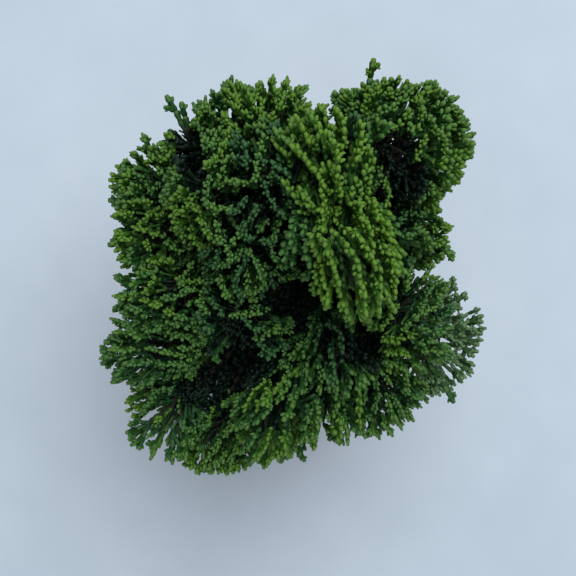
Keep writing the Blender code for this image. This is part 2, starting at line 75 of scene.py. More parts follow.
# Potting mix
MIX_LEVEL = 0.0920
MIX_SEGMENTS = 72
MIX_RINGS = 22
MIX_CRUMB = 0.0011
CRUMB_GRAINS = (260, 620)
FINE_CRUMB_SHARE = 0.6
LEAST_CRUMB_SHARE = 0.25
CRUMB_FADE = 0.008
LOOSE_SHARE = 0.98
CHIPS = 520
CHIP_LENGTHS = (0.0022, 0.0065)
CHIP_SECTION = (0.42, 0.16)
CHIP_BODY = 0.7
CHIP_END_FACING = 0.5
CHIP_END_SCALE = (1, 0.55, 0.6)
CHIP_END_SKEW = 0.05
CHIP_TILT = 0.4
CHIP_LIFT = 0.08
GRITS = 90
GRIT_SIZES = (0.0010, 0.0020)
GRIT_SECTION = (0.85, 0.7)
BARE_ROUND_TRUNK = 0.0095
SCATTER_EDGE = 0.93

# Trunk
TRUNK_FOOT = Vector((0.0, 0.0, MIX_LEVEL + SEAT_GAP))
TRUNK_TIP = Vector((0.0165, 0.0085, 0.2060))
TRUNK_LEAN_CURVE = 1.25
TRUNK_BOW = 0.0050
TRUNK_RADIUS = 0.0058
TRUNK_TIP_RADIUS = 0.0022
FLARE = 0.60
FLARE_HEIGHT = 0.0065
FLARE_LOBES = 5
FLARE_LOBE_DEPTH = 0.16
TRUNK_RINGS = 10
TRUNK_SIDES = 10
BARK_RINGS = 90
BARK_SIDES = 36
BARK_RELIEF = 0.00045
BARK_GRAIN = 900
BARK_RING_CROWDING = 1.3
FURROW_STRETCH = 0.22
PLATE_GRAIN = 0.4
PLATE_OFFSET = Vector((7, 3, 1))

# Boughs
BOUGH_TRUNK_SHARE = 0.50
BOUGH_LEAST_RADIUS = 0.0015
BOUGH_TIP_RADIUS = 0.0012
BOUGH_TIP_GAP = 0.0006
BOUGH_COLLAR = 1.30
BOUGH_LEVEL_STRETCH = 0.0015
BOUGH_HANDLE = 0.35
BOUGH_DROP = 0.30
BOUGH_LOWEST = 0.1385
BOUGH_HIGHEST = 0.1995
BOUGH_STEP = 0.0015
BOUGH_CLEARANCE = 0.0010
BOUGH_POINTS = 6
STEM_RADIUS = 0.0012
STEM_DROP = 0.22
GAP_SAMPLES = 4
LIMB_RINGS = 26
LIMB_SIDES = 12
LIMB_SINK = 0.0016
LIMB_RELIEF = 0.00016
LIMB_GRAIN = 1500
LIMB_COLLAR = 1.15
STEM_FEET = (1.5, 1.25)
STEM_SHARES = (0.1, 0.4, 0.7, 1.0)
STEM_TAPER = 0.25
STEM_END = 0.45

# Masses of foliage
BLADE_THICKNESS = 0.0018
SPACE_CLEARANCE = 0.0004
LEAST_CLOSING = 1e-6
LOWEST_FOLIAGE = POT_HEIGHT + 0.004
HUB_SHARE = 0.50

# Fans of shoots, which stand on edge all over the outside of a mass
FAN_CAP = math.radians(128)
PLACES_TRIED = 900
GOLDEN_TURN = math.pi * (3 - math.sqrt(5))
STRAND_LENGTH = 0.0150
STRAND_SPACING = 0.0042
LEAST_OPEN = 0.18
OPEN_ABOVE = 0.70
OPEN_DEPTH = 0.014
CROWN_CENTRE = Vector((0.006, 0.0, 0.160))
MELT = 0.0065
MOST_FILL = 0.0100
FILL_STEP = 0.0010
OVERLAP = 0.0028
FAN_RADIUS = 0.0150
FAN_RADIUS_JITTER = 0.15
SPREADS = (math.radians(30), math.radians(42))
TWIST = math.radians(42)
FOCUS_TWIST = math.radians(20)
LEAST_NORMAL = 0.35
TIP_PITCH = 0.0034
ANGLE_JITTER = 0.20
TIP_SHARES = (0.83, 1.0)
SIDE_JITTER = 0.42
STRAND_SHARES = (0.4, 0.55, 0.7, 0.85, 1.0)
LINK_LENGTH = 0.0070
LINK_JITTER = 0.15
SHORTEST_FAN = 0.0050
NEAREST_JOINT = 0.0025
CUPS = (-0.26, 0.26)

# Shoots, with their length along +X, their width along Y and their thickness along Z
SHOOT_LENGTH = 0.0070
SHOOT_WIDTH = 0.0023
SHOOT_THICKNESS = 0.0018
SHOOT_SWELLS = ((0.22, 0.95), (0.42, 0.76), (0.76, 1.0), (1.0, 0.58))
CORD_SWELLS = ((0.30, 1.0), (0.55, 0.72), (0.80, 1.0), (1.0, 0.70))
FINGER_BASE = 0.55
TIP_FROM = 0.60
NO_TIP = 2.0
LOBE_LENGTH = 0.0027
LOBE_WIDTH = 0.0015
LOBE_SWELLS = ((0.60, 1.0), (1.0, 0.50))
LOBE_TURN = math.radians(40)
SHOOT_ROLL = 0.6
LEAN = 0.35
UPWARD_LEAN = 0.60
FOCUS_LEAN = 0.80
FULL_LEAN_DISTANCE = 0.022
FOCUS_HALF_LINE = 0.010
INNER_SHOOT_STEP = 2
INNER_SHOOT_LENGTHS = (0.0050, 0.0085)
INNER_SHOOT_TURNS = (-2.0, -1.2, -0.4, 0.4, 1.2, 2.0)
INNER_SHOOT_GIRTH = 1.3
INNER_TURN_JITTER = 0.4
INNER_AHEAD = (0.4, 1.0)
INNER_STEM_SHARES = (0.05, 0.35, 0.65, 0.95, 1.25)
CORD_OVERLAP = 0.12
SIZE_JITTER = 0.14
TWIG_RADII = (0.00040, 0.00060)
TWIG_TAPER = 0.75
LEADERS = 6
LEADER_RADIUS = 0.00085
FORK_SHARES = (0.30, 0.75)
SPRIG_BARE_SHARE = 0.40
SPRIG_GIRTH = 1.25
SIDE_SHOOT_SHARES = (0.50, 0.75)
SPRIG_BEND = 0.0006
SPRIG_ROLL = 0.3
SIDE_SHOOT_GIRTH = 0.95
SIDE_SHOOT_TURN = math.radians(42)

# The kinds of shoot: three with florets, the plain cord that also joins shoots, and two sleek
# ones. A floret stands at a share of the way along the shoot, so many degrees round it.
SHOOT_KINDS = (
    (SHOOT_SWELLS, ((0.20, 0), (0.48, 180), (0.52, 80))),
    (SHOOT_SWELLS, ((0.22, 180), (0.52, 0), (0.46, -80))),
    (SHOOT_SWELLS, ((0.46, 10), (0.42, 190), (0.50, 100))),
    (CORD_SWELLS, ()),
    (SHOOT_SWELLS, ((0.20, 0), (0.48, 180))),
    (SHOOT_SWELLS, ((0.22, 180), (0.44, 20))),
)
FORKED_SHOOTS = (0, 1, 2)
CORD = 3
SLEEK_SHOOTS = (4, 5, 0)

Ring = namedtuple("Ring", "centre radius")
Fan = namedtuple("Fan", "root way side spread cup radius sunk lean in_hollow")
Layer = namedtuple("Layer", "depth spacing tint_shift hollow_depth")
Sprig = namedtuple("Sprig", "mass tip sides tint", defaults=(None,))
Focus = namedtuple("Focus", "x y squeeze slant stretch")
Spot = namedtuple("Spot", "u v radius")
Hollow = namedtuple("Hollow", "u v radius floor")
Shape = namedtuple("Shape", "points faces tips")
Copy = namedtuple("Copy", "shape place slot")
Finish = namedtuple("Finish", "dark light broad fine roughness bump stretch", defaults=((1, 1, 1),))

# One mass of foliage. Its middle is at a bearing, a distance out from the pot's axis and a
# height. Its axis has a bearing and a lift, and half sizes along it, across it and through it.
Mass = namedtuple("Mass", "bearing out height axis_bearing lift along across through")

MASSES = {
    "crest_back": Mass(69, 0.0455, 0.236, 92, 75, 0.030, 0.018, 0.022),
    "crest": Mass(6, 0.0230, 0.236, -60, 75, 0.033, 0.019, 0.025),
    "back_right": Mass(50, 0.0675, 0.222, 60, 45, 0.029, 0.031, 0.026),
    "back_sprig": Mass(65, 0.0755, 0.206, 84, 45, 0.020, 0.011, 0.012),
    "back": Mass(99, 0.0600, 0.200, 85, 50, 0.026, 0.025, 0.019),
    "back_left": Mass(117, 0.0650, 0.196, 110, 45, 0.022, 0.015, 0.017),
    "left_sprig": Mass(127, 0.0735, 0.186, 126, 40, 0.018, 0.009, 0.011),
    "left_back": Mass(146, 0.0690, 0.180, 150, 40, 0.023, 0.021, 0.020),
    "heart_left": Mass(135, 0.0415, 0.218, 140, 65, 0.026, 0.019, 0.019),
    "heart_back": Mass(103, 0.0330, 0.224, 110, 75, 0.026, 0.015, 0.020),
    "heart_right": Mass(22, 0.0410, 0.200, 22, 40, 0.022, 0.018, 0.019),
    "left": Mass(162, 0.0585, 0.190, 172, 35, 0.025, 0.018, 0.019),
    "left_middle": Mass(-169, 0.0510, 0.190, 187, 35, 0.029, 0.018, 0.019),
    "left_front": Mass(-150, 0.0680, 0.180, 200, 30, 0.026, 0.016, 0.018),
    "open_corner": Mass(-130, 0.0830, 0.168, 225, 20, 0.025, 0.019, 0.015),
    "front_left": Mass(-113, 0.0805, 0.158, 255, 30, 0.021, 0.021, 0.018),
    "front": Mass(-96, 0.0575, 0.186, 262, 45, 0.030, 0.019, 0.021),
    "front_inner": Mass(-75, 0.0600, 0.178, 277, 40, 0.026, 0.018, 0.019),
    "front_right": Mass(-53, 0.0670, 0.168, 313, 35, 0.025, 0.021, 0.018),
    "right_front": Mass(-18, 0.0580, 0.190, 348, 40, 0.027, 0.025, 0.022),
    "far_right": Mass(-26, 0.0755, 0.150, 334, 5, 0.024, 0.030, 0.016),
    "right": Mass(19, 0.0545, 0.188, 10, 30, 0.024, 0.021, 0.020),
    "heart": Mass(138, 0.0175, 0.212, 120, 75, 0.027, 0.020, 0.018),
    "inner_left": Mass(-137, 0.0285, 0.196, 225, 65, 0.026, 0.018, 0.017),
    "inner_right": Mass(-58, 0.0390, 0.192, 300, 65, 0.026, 0.016, 0.015),
    "under_back_right": Mass(50, 0.0520, 0.176, 50, 30, 0.026, 0.026, 0.021),
    "under_back": Mass(96, 0.0500, 0.166, 96, 25, 0.025, 0.022, 0.018),
    "low_right": Mass(22, 0.0480, 0.132, 22, 10, 0.027, 0.023, 0.021),
    "low_back": Mass(75, 0.0450, 0.132, 75, 10, 0.027, 0.023, 0.021),
    "low_back_left": Mass(128, 0.0470, 0.132, 128, 10, 0.027, 0.023, 0.021),
    "low_left": Mass(180, 0.0480, 0.132, 180, 10, 0.027, 0.023, 0.021),
    "low_front_left": Mass(-131, 0.0510, 0.131, 229, 10, 0.028, 0.022, 0.021),
    "low_front": Mass(-83, 0.0490, 0.130, 277, 10, 0.027, 0.022, 0.021),
    "low_front_right": Mass(-36, 0.0470, 0.128, 324, 5, 0.026, 0.022, 0.019),
}

# These masses sit so near the trunk that their stems start from it with no bough between.
ON_TRUNK = (
    "crest", "heart", "heart_back", "heart_right", "inner_left",
    "low_right", "low_back", "low_back_left", "low_left", "low_front_left", "low_front",
    "low_front_right",
)

# In these masses the strands run away from one point above the crown, in plan. A squeeze under
# one turns them towards the front and back, a slant turns the whole comb of them, and a stretch
# makes them longer. Elsewhere they run out from a mass's own axis.
FOCUSES = {
    "crest": Focus(0.0200, 0.0240, 0.40, 0.22, 1.4),
    "crest_back": Focus(0.0190, 0.0180, 0.25, 0.22, 1.3),
    "front": Focus(0.0120, 0.0180, 1.0, -0.35, 1.4),
    "front_inner": Focus(0.0120, 0.0180, 1.0, -0.25, 1.4),
    "inner_right": Focus(0.0120, 0.0180, 1.0, 0.0, 1.2),
    "left_front": Focus(-0.0280, -0.0386, 1.0, 0.0, 1.2),
    "back": Focus(-0.0080, 0.0450, 1.0, 0.0, 1.3),
    "right_front": Focus(0.0330, -0.0335, 1.0, 0.0, 1.2),
    "front_right": Focus(0.0330, -0.0250, 1.0, 0.0, 1.3),
}

# The outer layer of fans, and a sparser and darker one inside it, darker partly as older growth
# and partly as painted shade. The loosest masses have only a thin outer layer, in a misty tint.
LAYERS = (Layer(0.95, 1.0, 0, 0.62), Layer(0.62, 1.45, 2, 0.95))
OPEN_LAYERS = (Layer(0.97, 1.40, 0, 1.0),)
OPEN_MASSES = ("far_right",)

# How far apart the fans of a mass stand, where it isn't the usual distance
SPACINGS = {"back": 0.82, "back_right": 0.88, "crest_back": 0.90, "left": 0.88}
LOW_SPACING = 1.12

# Masses with sleek shoots, and how much stouter these are than the rest
GIRTHS = {
    "crest": 1.22, "crest_back": 1.22, "front": 1.12, "front_inner": 1.15, "inner_right": 1.10,
}

# Dark hollows of the crown, by the pixel at which the camera sees their middles. Foliage above a
# hollow's floor is sunk there, and takes the darkest tint as painted shade.
HOLLOWS = (
    Hollow(286, 304, 15, 0.160), Hollow(232, 344, 22, 0.160), Hollow(240, 370, 21, 0.160),
    Hollow(218, 384, 20, 0.160), Hollow(198, 396, 16, 0.150), Hollow(188, 138, 12, 0.182),
    Hollow(190, 158, 15, 0.182), Hollow(192, 180, 12, 0.182), Hollow(365, 350, 20, 0.160),
    Hollow(396, 150, 20, 0.185), Hollow(408, 178, 20, 0.185),
)

# The sunlit ridge of the crown, by pixels along it. The crest's fans on it keep the brightest
# tints as painted light, and those outside it take darker ones as painted shade.
RIDGE_SPOTS = (
    Spot(320, 130, 36), Spot(335, 165, 46), Spot(340, 205, 44), Spot(358, 245, 50),
    Spot(358, 285, 46), Spot(350, 310, 42),
)

# Places where the sky shows past the crown or through it, by the pixel of their middles
SKY_SPOTS = [Spot(*place) for place in (
    (128, 273, 6), (455, 206, 14), (448, 267, 9), (462, 266, 12), (437, 268, 5), (325, 449, 11),
    (150, 112, 16), (156, 132, 8), (136, 139, 8), (170, 116, 12), (178, 98, 14), (198, 86, 12),
    (184, 118, 6), (148, 430, 4), (153, 441, 5), (161, 448, 4), (165, 436, 4), (157, 415, 4),
    (172, 413, 4), (185, 411, 4), (178, 425, 4), (120, 152, 8), (214, 78, 8), (189, 112, 5),
    (398, 447, 10), (422, 430, 11), (440, 416, 9), (346, 64, 22), (462, 82, 14), (484, 120, 14),
    (393, 60, 13), (468, 100, 9), (322, 94, 9), (120, 392, 10), (466, 232, 8), (113, 288, 7),
)]

# Single sprigs that stand out past the rest: the mass, the tip, the share of the way along and
# the side of each side shoot, and the tint where it isn't the last of the mass's own
SPRIGS = (
    Sprig("back_sprig", (0.0337, 0.0832, 0.214), ((0.70, 1), (0.80, -1)), "bright"),
    Sprig("heart", (-0.0150, -0.0128, 0.209), ((0.55, 1), (0.70, -1), (0.85, 1)), "fresh"),
    Sprig("inner_right", (-0.0104, -0.0535, 0.211),
          ((0.50, 1), (0.61, -1), (0.72, 1), (0.82, -1), (0.91, 1)), "bright"),
    Sprig("inner_right", (-0.0020, -0.0600, 0.209), ((0.58, 1), (0.72, -1), (0.86, 1)), "fresh"),
    Sprig("inner_left", (-0.0323, -0.0380, 0.182), ((0.60, 1), (0.75, -1), (0.88, 1)), "mid"),
    Sprig("inner_left", (-0.0385, -0.0330, 0.182), ((0.66, 1), (0.84, -1)), "mid"),
    Sprig("back_right", (0.0735, 0.0468, 0.212), ((0.82, 1), (0.90, -1))),
    Sprig("back_right", (0.0695, 0.0560, 0.214), ((0.84, -1),)),
    Sprig("left_sprig", (-0.0517, 0.0747, 0.186), ((0.70, 1),)),
    Sprig("left_sprig", (-0.0450, 0.0715, 0.188), ()),
    Sprig("left_front", (-0.0815, -0.0400, 0.176), ((0.74, -1), (0.86, 1))),
    Sprig("left_front", (-0.0810, -0.0345, 0.180), ((0.80, 1), (0.90, -1))),
    Sprig("left_front", (-0.0790, -0.0300, 0.182), ((0.78, 1),)),
    Sprig("left_front", (-0.0770, -0.0450, 0.174), ((0.78, -1), (0.88, 1))),
    Sprig("left_back", (-0.0770, 0.0305, 0.182), ((0.84, 1),)),
    Sprig("left", (-0.0760, 0.0110, 0.188), ((0.84, -1),)),
    Sprig("right", (0.0700, 0.0070, 0.190), ((0.80, 1), (0.90, -1))),
    Sprig("right_front", (0.0765, -0.0600, 0.152), ((0.90, 1),)),
    Sprig("far_right", (0.0850, -0.0280, 0.152), ((0.74, 1), (0.84, -1), (0.92, 1))),
    Sprig("far_right", (0.0820, -0.0400, 0.150), ((0.76, -1), (0.88, 1))),
    Sprig("far_right", (0.0775, -0.0045, 0.152), ((0.76, 1), (0.86, -1), (0.93, 1))),
    Sprig("far_right", (0.0825, -0.0090, 0.152), ((0.78, 1), (0.88, -1))),
    Sprig("far_right", (0.0795, -0.0135, 0.150), ((0.84, -1),)),
    Sprig("far_right", (0.0745, -0.0560, 0.150), ((0.90, 1),)),
    Sprig("front_right", (0.0180, -0.0745, 0.170), ((0.88, 1),)),
    Sprig("front_right", (0.0375, -0.0725, 0.168), ((0.80, 1), (0.90, -1))),
    Sprig("open_corner", (-0.0690, -0.0725, 0.166), ((0.80, 1), (0.90, -1))),
    Sprig("open_corner", (-0.0610, -0.0790, 0.168), ((0.84, -1),)),
    Sprig("front_left", (-0.0455, -0.0885, 0.158), ((0.82, 1), (0.91, -1))),
    Sprig("front_left", (-0.0386, -0.0910, 0.158), ((0.84, 1), (0.92, -1))),
    Sprig("front_left", (-0.0300, -0.0900, 0.160), ((0.88, -1),)),
    Sprig("front_left", (-0.0250, -0.0870, 0.164), ((0.86, 1),)),
    Sprig("front", (-0.0170, -0.0850, 0.174), ((0.88, -1),)),
    Sprig("front", (-0.0110, -0.0855, 0.170), ((0.82, 1), (0.90, -1))),
    Sprig("front", (-0.0030, -0.0840, 0.172), ((0.86, 1),)),
    Sprig("front_inner", (0.0045, -0.0815, 0.172), ((0.84, -1), (0.92, 1))),
)

# Leaf tints: the shoot's colour and its growing tip's, which is lighter partly as new growth and
# partly as painted highlight
TINTS = {
    "lime": ((0.052, 0.144, 0.014), (0.096, 0.208, 0.024)),
    "bright": ((0.043, 0.128, 0.014), (0.084, 0.188, 0.025)),
    "fresh": ((0.031, 0.107, 0.018), (0.073, 0.172, 0.035)),
    "mid": ((0.020, 0.083, 0.019), (0.055, 0.143, 0.034)),
    "cool": ((0.011, 0.056, 0.018), (0.033, 0.101, 0.032)),
    "deep": ((0.0014, 0.0090, 0.0055), (0.004, 0.018, 0.010)),
    "misty": ((0.056, 0.126, 0.048), (0.096, 0.178, 0.078)),
}
# The darkest tint, near black: old growth, and painted shade in the crown's hollows and interior
OLD_AND_SHADED_TINT = 5

# How deep in the crown a fan's tint turns a step darker, and then one more: partly older growth,
# partly painted shade
SHADE_DEPTHS = (0.0035, 0.0080)

# The tints that a mass's fans take at random, by its material slot or by its own name
LEAF_TINTS = {
    "bright": ("lime", "bright"),
    "fresh": ("bright", "fresh", "mid"),
    "deep": ("fresh", "mid", "cool"),
    "sunny": ("bright", "bright", "fresh"),
    "shaded": ("fresh", "mid"),
}
# Masses whose own palette is painted light (sunny) or painted shade (shaded); open_corner takes the
# fresh one
OWN_TINTS = {
    "back": "sunny", "back_right": "sunny", "right": "sunny", "open_corner": "fresh",
    "left_front": "shaded", "front_right": "shaded", "front_left": "sunny",
}
# The crest's masses take the brightest palette, partly fresh growth and partly painted light; the
# deep slot's darker palette is painted shade on the inner masses
BRIGHT_MASSES = ("crest", "crest_back")
DEEP_MASSES = ("heart", "inner_left", "inner_right", "heart_back", "heart_right", "open_corner")

# Where a mass stops short in one direction: a point of a flat bound, and the way in from it
TRIMS = (
    ("back_sprig", (0.0, 0.0765, 0.0), (0.0, -1.0, 0.0)),
    ("back", (0.0, 0.0785, 0.0), (0.0, -1.0, 0.0)),
    ("back_right", (0.0, 0.0740, 0.0), (0.0, -1.0, 0.0)),
    ("back_right", (0.0663, 0.0676, 0.0), (-0.707, -0.707, 0.0)),
    ("crest_back", (0.0, 0.0590, 0.0), (0.0, -1.0, 0.0)),
    ("right_front", (0.0695, 0.0, 0.0), (-1.0, 0.0, 0.0)),
    ("right", (0.0690, 0.0, 0.0), (-1.0, 0.0, 0.0)),
    ("left_back", (-0.0765, 0.0, 0.0), (1.0, 0.0, 0.0)),
    ("left", (-0.0745, 0.0, 0.0), (1.0, 0.0, 0.0)),
)

# Finishes with a mottle: the dark and the light colour, the scales of the broad and the fine
# noise, the roughness and the depth of the relief, and how the pattern is stretched
FINISHES = {
    "bark": Finish(
        (0.007, 0.005, 0.004), (0.036, 0.025, 0.018), 260, 900, 0.90, 0.0006, (1, 1, 0.25),
    ),
    "clay": Finish((0.33, 0.130, 0.065), (0.56, 0.27, 0.16), 28, 420, 0.85, 0.0003),
    "soil": Finish((0.010, 0.007, 0.005), (0.065, 0.043, 0.028), 420, 1500, 0.95, 0.001),
    "chips": Finish((0.030, 0.018, 0.011), (0.16, 0.095, 0.055), 300, 900, 0.90, 0.0004),
    "grit": Finish((0.26, 0.24, 0.21), (0.52, 0.50, 0.45), 600, 2400, 0.80, 0.0002),
    # The twigs' dark brown is deepened to near black as painted shade inside the crown
    "shaded_twig_bark": Finish((0.006, 0.008, 0.004), (0.022, 0.021, 0.011), 500, 1800, 0.85, 0.0002),
    "pale_floor": Finish((0.47, 0.56, 0.66), (0.53, 0.62, 0.73), 6, 30, 0.90, 0.0001),
}
BROAD_DETAIL = 4.0
FINE_DETAIL = 5.0
FINE_MOTTLE_SHARE = 0.45
MOTTLE_RANGE = {"From Min": 0.50, "From Max": 0.95}
RELIEF_STRENGTH = 0.6
LEAF_ROUGHNESS = 0.60
LEAF_SPECULAR = 0.22

# Lime bloom on the clay: how much of it there is from low on the pot to the rim, and its patches
BLOOM_BAND = {"From Min": 0.030, "From Max": POT_HEIGHT, "To Min": 0.18, "To Max": 0.62}
BLOOM_PATCHES = {"Scale": 46.0, "Detail": 6.0, "Roughness": 0.62}
BLOOM_EDGES = {"From Min": 0.47, "From Max": 0.64}
BLOOM_COLOUR = (0.62, 0.47, 0.39, 1.0)

# Camera: straight above the crown, the upper edge of its view towards +Y
IMAGE_SIZE = 576
FOCAL_PIXELS = 902
SENSOR_WIDTH = 36.0
CAMERA_PLACE = Vector((0.0, -0.007, 0.568))
CLIP_START = 0.01

# The floor, the sky, and the lamps: each one's place, size and power
FLOOR_HALF = 4.0
SKY_COLOUR = (0.90, 0.95, 1.0, 1)
SKY_STRENGTH = 0.32
LAMP_COLOUR = (1.0, 0.99, 0.96)
LAMPS = (
    ("broad_lamp", Vector((0.25, 0.50, 1.55)), 1.2, 22),
    ("front_fill", Vector((-0.70, -1.40, 0.45)), 1.0, 6),
    ("back_fill", Vector((0.60, 1.45, 0.45)), 1.0, 5),
)


# Small helpers


def direction(bearing_deg, lift_deg):
    bearing, lift = math.radians(bearing_deg), math.radians(lift_deg)
    return Vector((
        math.cos(bearing) * math.cos(lift),
        math.sin(bearing) * math.cos(lift),
        math.sin(lift),
    ))


def mesh_from(bm, name, smooth=True):
    bmesh.ops.recalc_face_normals(bm, faces=bm.faces)
    mesh = bpy.data.meshes.new(name)
    bm.to_mesh(mesh)
    bm.free()
    if smooth:
        mesh.shade_smooth()
    return mesh


def add_object(name, data):
    made = bpy.data.objects.new(name, data)
    bpy.context.scene.collection.objects.link(made)
    return made


def add_piece(name, mesh, materials, replaced=()):
    """An object at the origin that rides on the part's one body."""
    piece = add_object(name, mesh)
    for material in materials:
        mesh.materials.append(material)
    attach(piece, "root")
    if replaced:
        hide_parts(*replaced)
    return piece


def of_kind(made, kind):
    """The items of one kind among all that an operator made."""
    return [item for item in made["geom"] if isinstance(item, kind)]


# Trunk and boughs, by the rule that the solids follow


def trunk_share(height):
    return (height - TRUNK_FOOT.z) / (TRUNK_TIP.z - TRUNK_FOOT.z)


def trunk_ring(share):
    """The trunk at a share of its height: it leaves the mix upright, bows and leans to its tip."""
    lean = share ** TRUNK_LEAN_CURVE
    bow = TRUNK_BOW * math.sin(math.pi * share) ** 2
    centre = TRUNK_FOOT.lerp(TRUNK_TIP, share)
    centre.x = TRUNK_FOOT.x + (TRUNK_TIP.x - TRUNK_FOOT.x) * lean
    centre.y = TRUNK_FOOT.y + (TRUNK_TIP.y - TRUNK_FOOT.y) * lean - bow
    flare = FLARE * math.exp(-(centre.z - TRUNK_FOOT.z) / FLARE_HEIGHT)
    return Ring(centre, (TRUNK_RADIUS + (TRUNK_TIP_RADIUS - TRUNK_RADIUS) * share) * (1 + flare))


def bezier(points, share):
    a, b, c, d = points
    back = 1 - share
    near = a * back ** 3 + b * (3 * back * back * share)
    return near + c * (3 * back * share * share) + d * share ** 3


def trunk_face(height, out, half_height):
    """How far out from its axis at a height the trunk reaches, over a band round that height."""
    corner_turn = math.tau / TRUNK_SIDES
    past_corner = (math.atan2(out.y, out.x) - math.pi / 2) % corner_turn
    side_share = math.cos(min(past_corner, corner_turn - past_corner))
    middle = trunk_ring(trunk_share(height)).centre
    reaches = []
    for level in (height - half_height, height, height + half_height):
        ring = trunk_ring(min(max(trunk_share(level), 0.0), 1.0))
        reaches.append((ring.centre - middle).dot(out) + ring.radius * side_share)
    return max(reaches)


def bough_rings(height, foot, axis, points=BOUGH_POINTS):
    """A bough that leaves the trunk level at a height and meets a mass's foot along its axis."""
    middle, trunk_radius = trunk_ring(trunk_share(height))
    radius = max(trunk_radius * BOUGH_TRUNK_SHARE, BOUGH_LEAST_RADIUS)
    out = Vector((foot.x - middle.x, foot.y - middle.y, 0.0)).normalized()
    start = middle + out * (trunk_face(height, out, radius * BOUGH_COLLAR) + SEAT_GAP)
    bend = start + out * BOUGH_LEVEL_STRETCH
    end = foot - axis * BOUGH_TIP_GAP
    handle = (end - bend).length * BOUGH_HANDLE
    handles = (bend, bend + out * handle, end - axis * handle, end)
    rings = [Ring(start, radius * BOUGH_COLLAR)]
    for point in range(points - 1):
        share = point / (points - 2)
        rings.append(Ring(bezier(handles, share), radius + (BOUGH_TIP_RADIUS - radius) * share))
    return rings


def samples(limb):
    """Rings set closely along a limb, between the rings that it is made of."""
    fine = []
    for a, b in zip(limb, limb[1:]):
        for step in range(GAP_SAMPLES + 1):
            share = step / GAP_SAMPLES
            radius = a.radius + (b.radius - a.radius) * share
            fine.append(Ring(a.centre.lerp(b.centre, share), radius))
    return fine


def gap_between(first, second):
    return min((a.centre - b.centre).length - a.radius - b.radius for a in first for b in second)


def place_boughs(feet, stems):
    """The height at which each bough starts: the nearest to its natural one that is clear."""
    levels = int((BOUGH_HIGHEST - BOUGH_LOWEST) / BOUGH_STEP)
    taken = [samples(stem) for stem in stems]
    starts = {}
    for name, (foot, axis) in sorted(feet.items(), key=lambda item: item[1][0].z):
        natural = foot.z - BOUGH_DROP * foot.xy.length
        heights = [BOUGH_LOWEST + BOUGH_STEP * level for level in range(levels + 1)]
        heights.sort(key=lambda height: abs(height - natural))
        starts[name] = max(heights, key=lambda height: min(
            BOUGH_CLEARANCE,
            *(gap_between(samples(bough_rings(height, foot, axis)), other) for other in taken),
        ))
        taken.append(samples(bough_rings(starts[name], foot, axis)))
    return starts


class Space:
    """A mass's own space: an ellipsoid cut by flat bounds against its neighbours and the limbs."""

    def __init__(self, mass):
        self.mass = mass
        self.middle = direction(mass.bearing, 0) * mass.out + Vector((0, 0, mass.height))
        self.axis = direction(mass.axis_bearing, mass.lift)
        self.across = direction(mass.axis_bearing + 90, 0)
        self.through = self.axis.cross(self.across)
        self.axes = np.array([self.axis, self.across, self.through])
        self.sizes = np.array([mass.along, mass.across, mass.through])
        self.hub = self.middle - self.axis * mass.along * HUB_SHARE
        self.bounds = []
        self.bound_by(Vector((0, 0, LOWEST_FOLIAGE)), Vector((0, 0, 1)), 0.0)

    def support(self, way):
        """How far the ellipsoid reaches from its middle along a unit direction."""
        return math.sqrt(float((((self.axes @ np.array(way)) * self.sizes) ** 2).sum()))

    def bound_by(self, point, inward, clearance):
        self.bounds.append((point, inward, clearance + BLADE_THICKNESS / 2 + SPACE_CLEARANCE))

    def own_reach(self, ways, start):
        """How far each ray goes from a start before it leaves the ellipsoid."""
        p = (self.axes @ np.array(start - self.middle)) / self.sizes
        q = (ways @ self.axes.T) / self.sizes
        qq = (q * q).sum(axis=1)
        pq = (p * q).sum(axis=1)
        pp = (p * p).sum() - 1
        return (np.sqrt(np.maximum(pq * pq - qq * pp, 0.0)) - pq) / qq

    def bounded(self, reach, ways, start, overlap=0.0):
        """The reach of each ray, cut where it meets a flat bound or passes it by an overlap."""
        for point, inward, clearance in self.bounds:
            closing = -(ways @ np.array(inward))
            allowed = (start - point).dot(inward) - clearance + overlap
            nears = closing > LEAST_CLOSING
            reach[nears] = np.minimum(reach[nears], allowed / closing[nears])
        return np.maximum(reach, 0.0)

    def bound_by_limb(self, limb):
        """Flat bounds that keep the space clear of each stretch of a limb."""
        for a, b in zip(limb, limb[1:]):
            stretch = b.centre - a.centre
            share = (self.middle - a.centre).dot(stretch) / stretch.length_squared
            nearest = a.centre.lerp(b.centre, max(0.0, min(1.0, share)))
            self.bound_by(nearest, (self.middle - nearest).normalized(), a.radius)

    def room(self, way):
        """How far a ray can go from the hub inside the space."""
        ways = np.array([way])
        return float(self.bounded(self.own_reach(ways, self.hub), ways, self.hub)[0])


class Crown:
    """All the spaces, melted together so that only shallow valleys are left between them."""

    def __init__(self, spaces):
        self.middles = np.array([space.middle for space in spaces])
        self.frames = np.array([space.axes / space.sizes[:, None] for space in spaces])

    def depth(self, points):
        """How deep each point lies under the melted surface, or less than nothing outside it."""
        offsets = points[:, None] - self.middles
        shares = np.linalg.norm(np.einsum("mij,pmj->pmi", self.frames, offsets), axis=2)
        gaps = (1 - 1 / shares) * np.linalg.norm(offsets, axis=2)
        return MELT * np.log(np.exp(-gaps / MELT).sum(axis=1))

    def room(self, space, ways, start):
        """How far each ray can go from a start inside a space and the fill of its valleys."""
        ways = np.atleast_2d(np.array(ways))
        reach = space.own_reach(ways, start)
        growing = np.ones(len(ways), bool)
        for _ in range(round(MOST_FILL / FILL_STEP)):
            tips = np.array(start) + ways * (reach + FILL_STEP)[:, None]
            growing &= self.depth(tips) > 0
            reach[growing] += FILL_STEP
        return space.bounded(reach, ways, start, OVERLAP)


def share_out(spaces):
    """A flat bound between each two masses, nearer the one that reaches less far that way."""
    named = list(spaces.values())
    for i, first in enumerate(named):
        for second in named[i + 1:]:
            between = second.middle - first.middle
            way = between.normalized()
            mine, theirs = first.support(way), second.support(way)
            place = first.middle + between * (mine / (mine + theirs))
            first.bound_by(place, -way, 0.0)
            second.bound_by(place, way, 0.0)


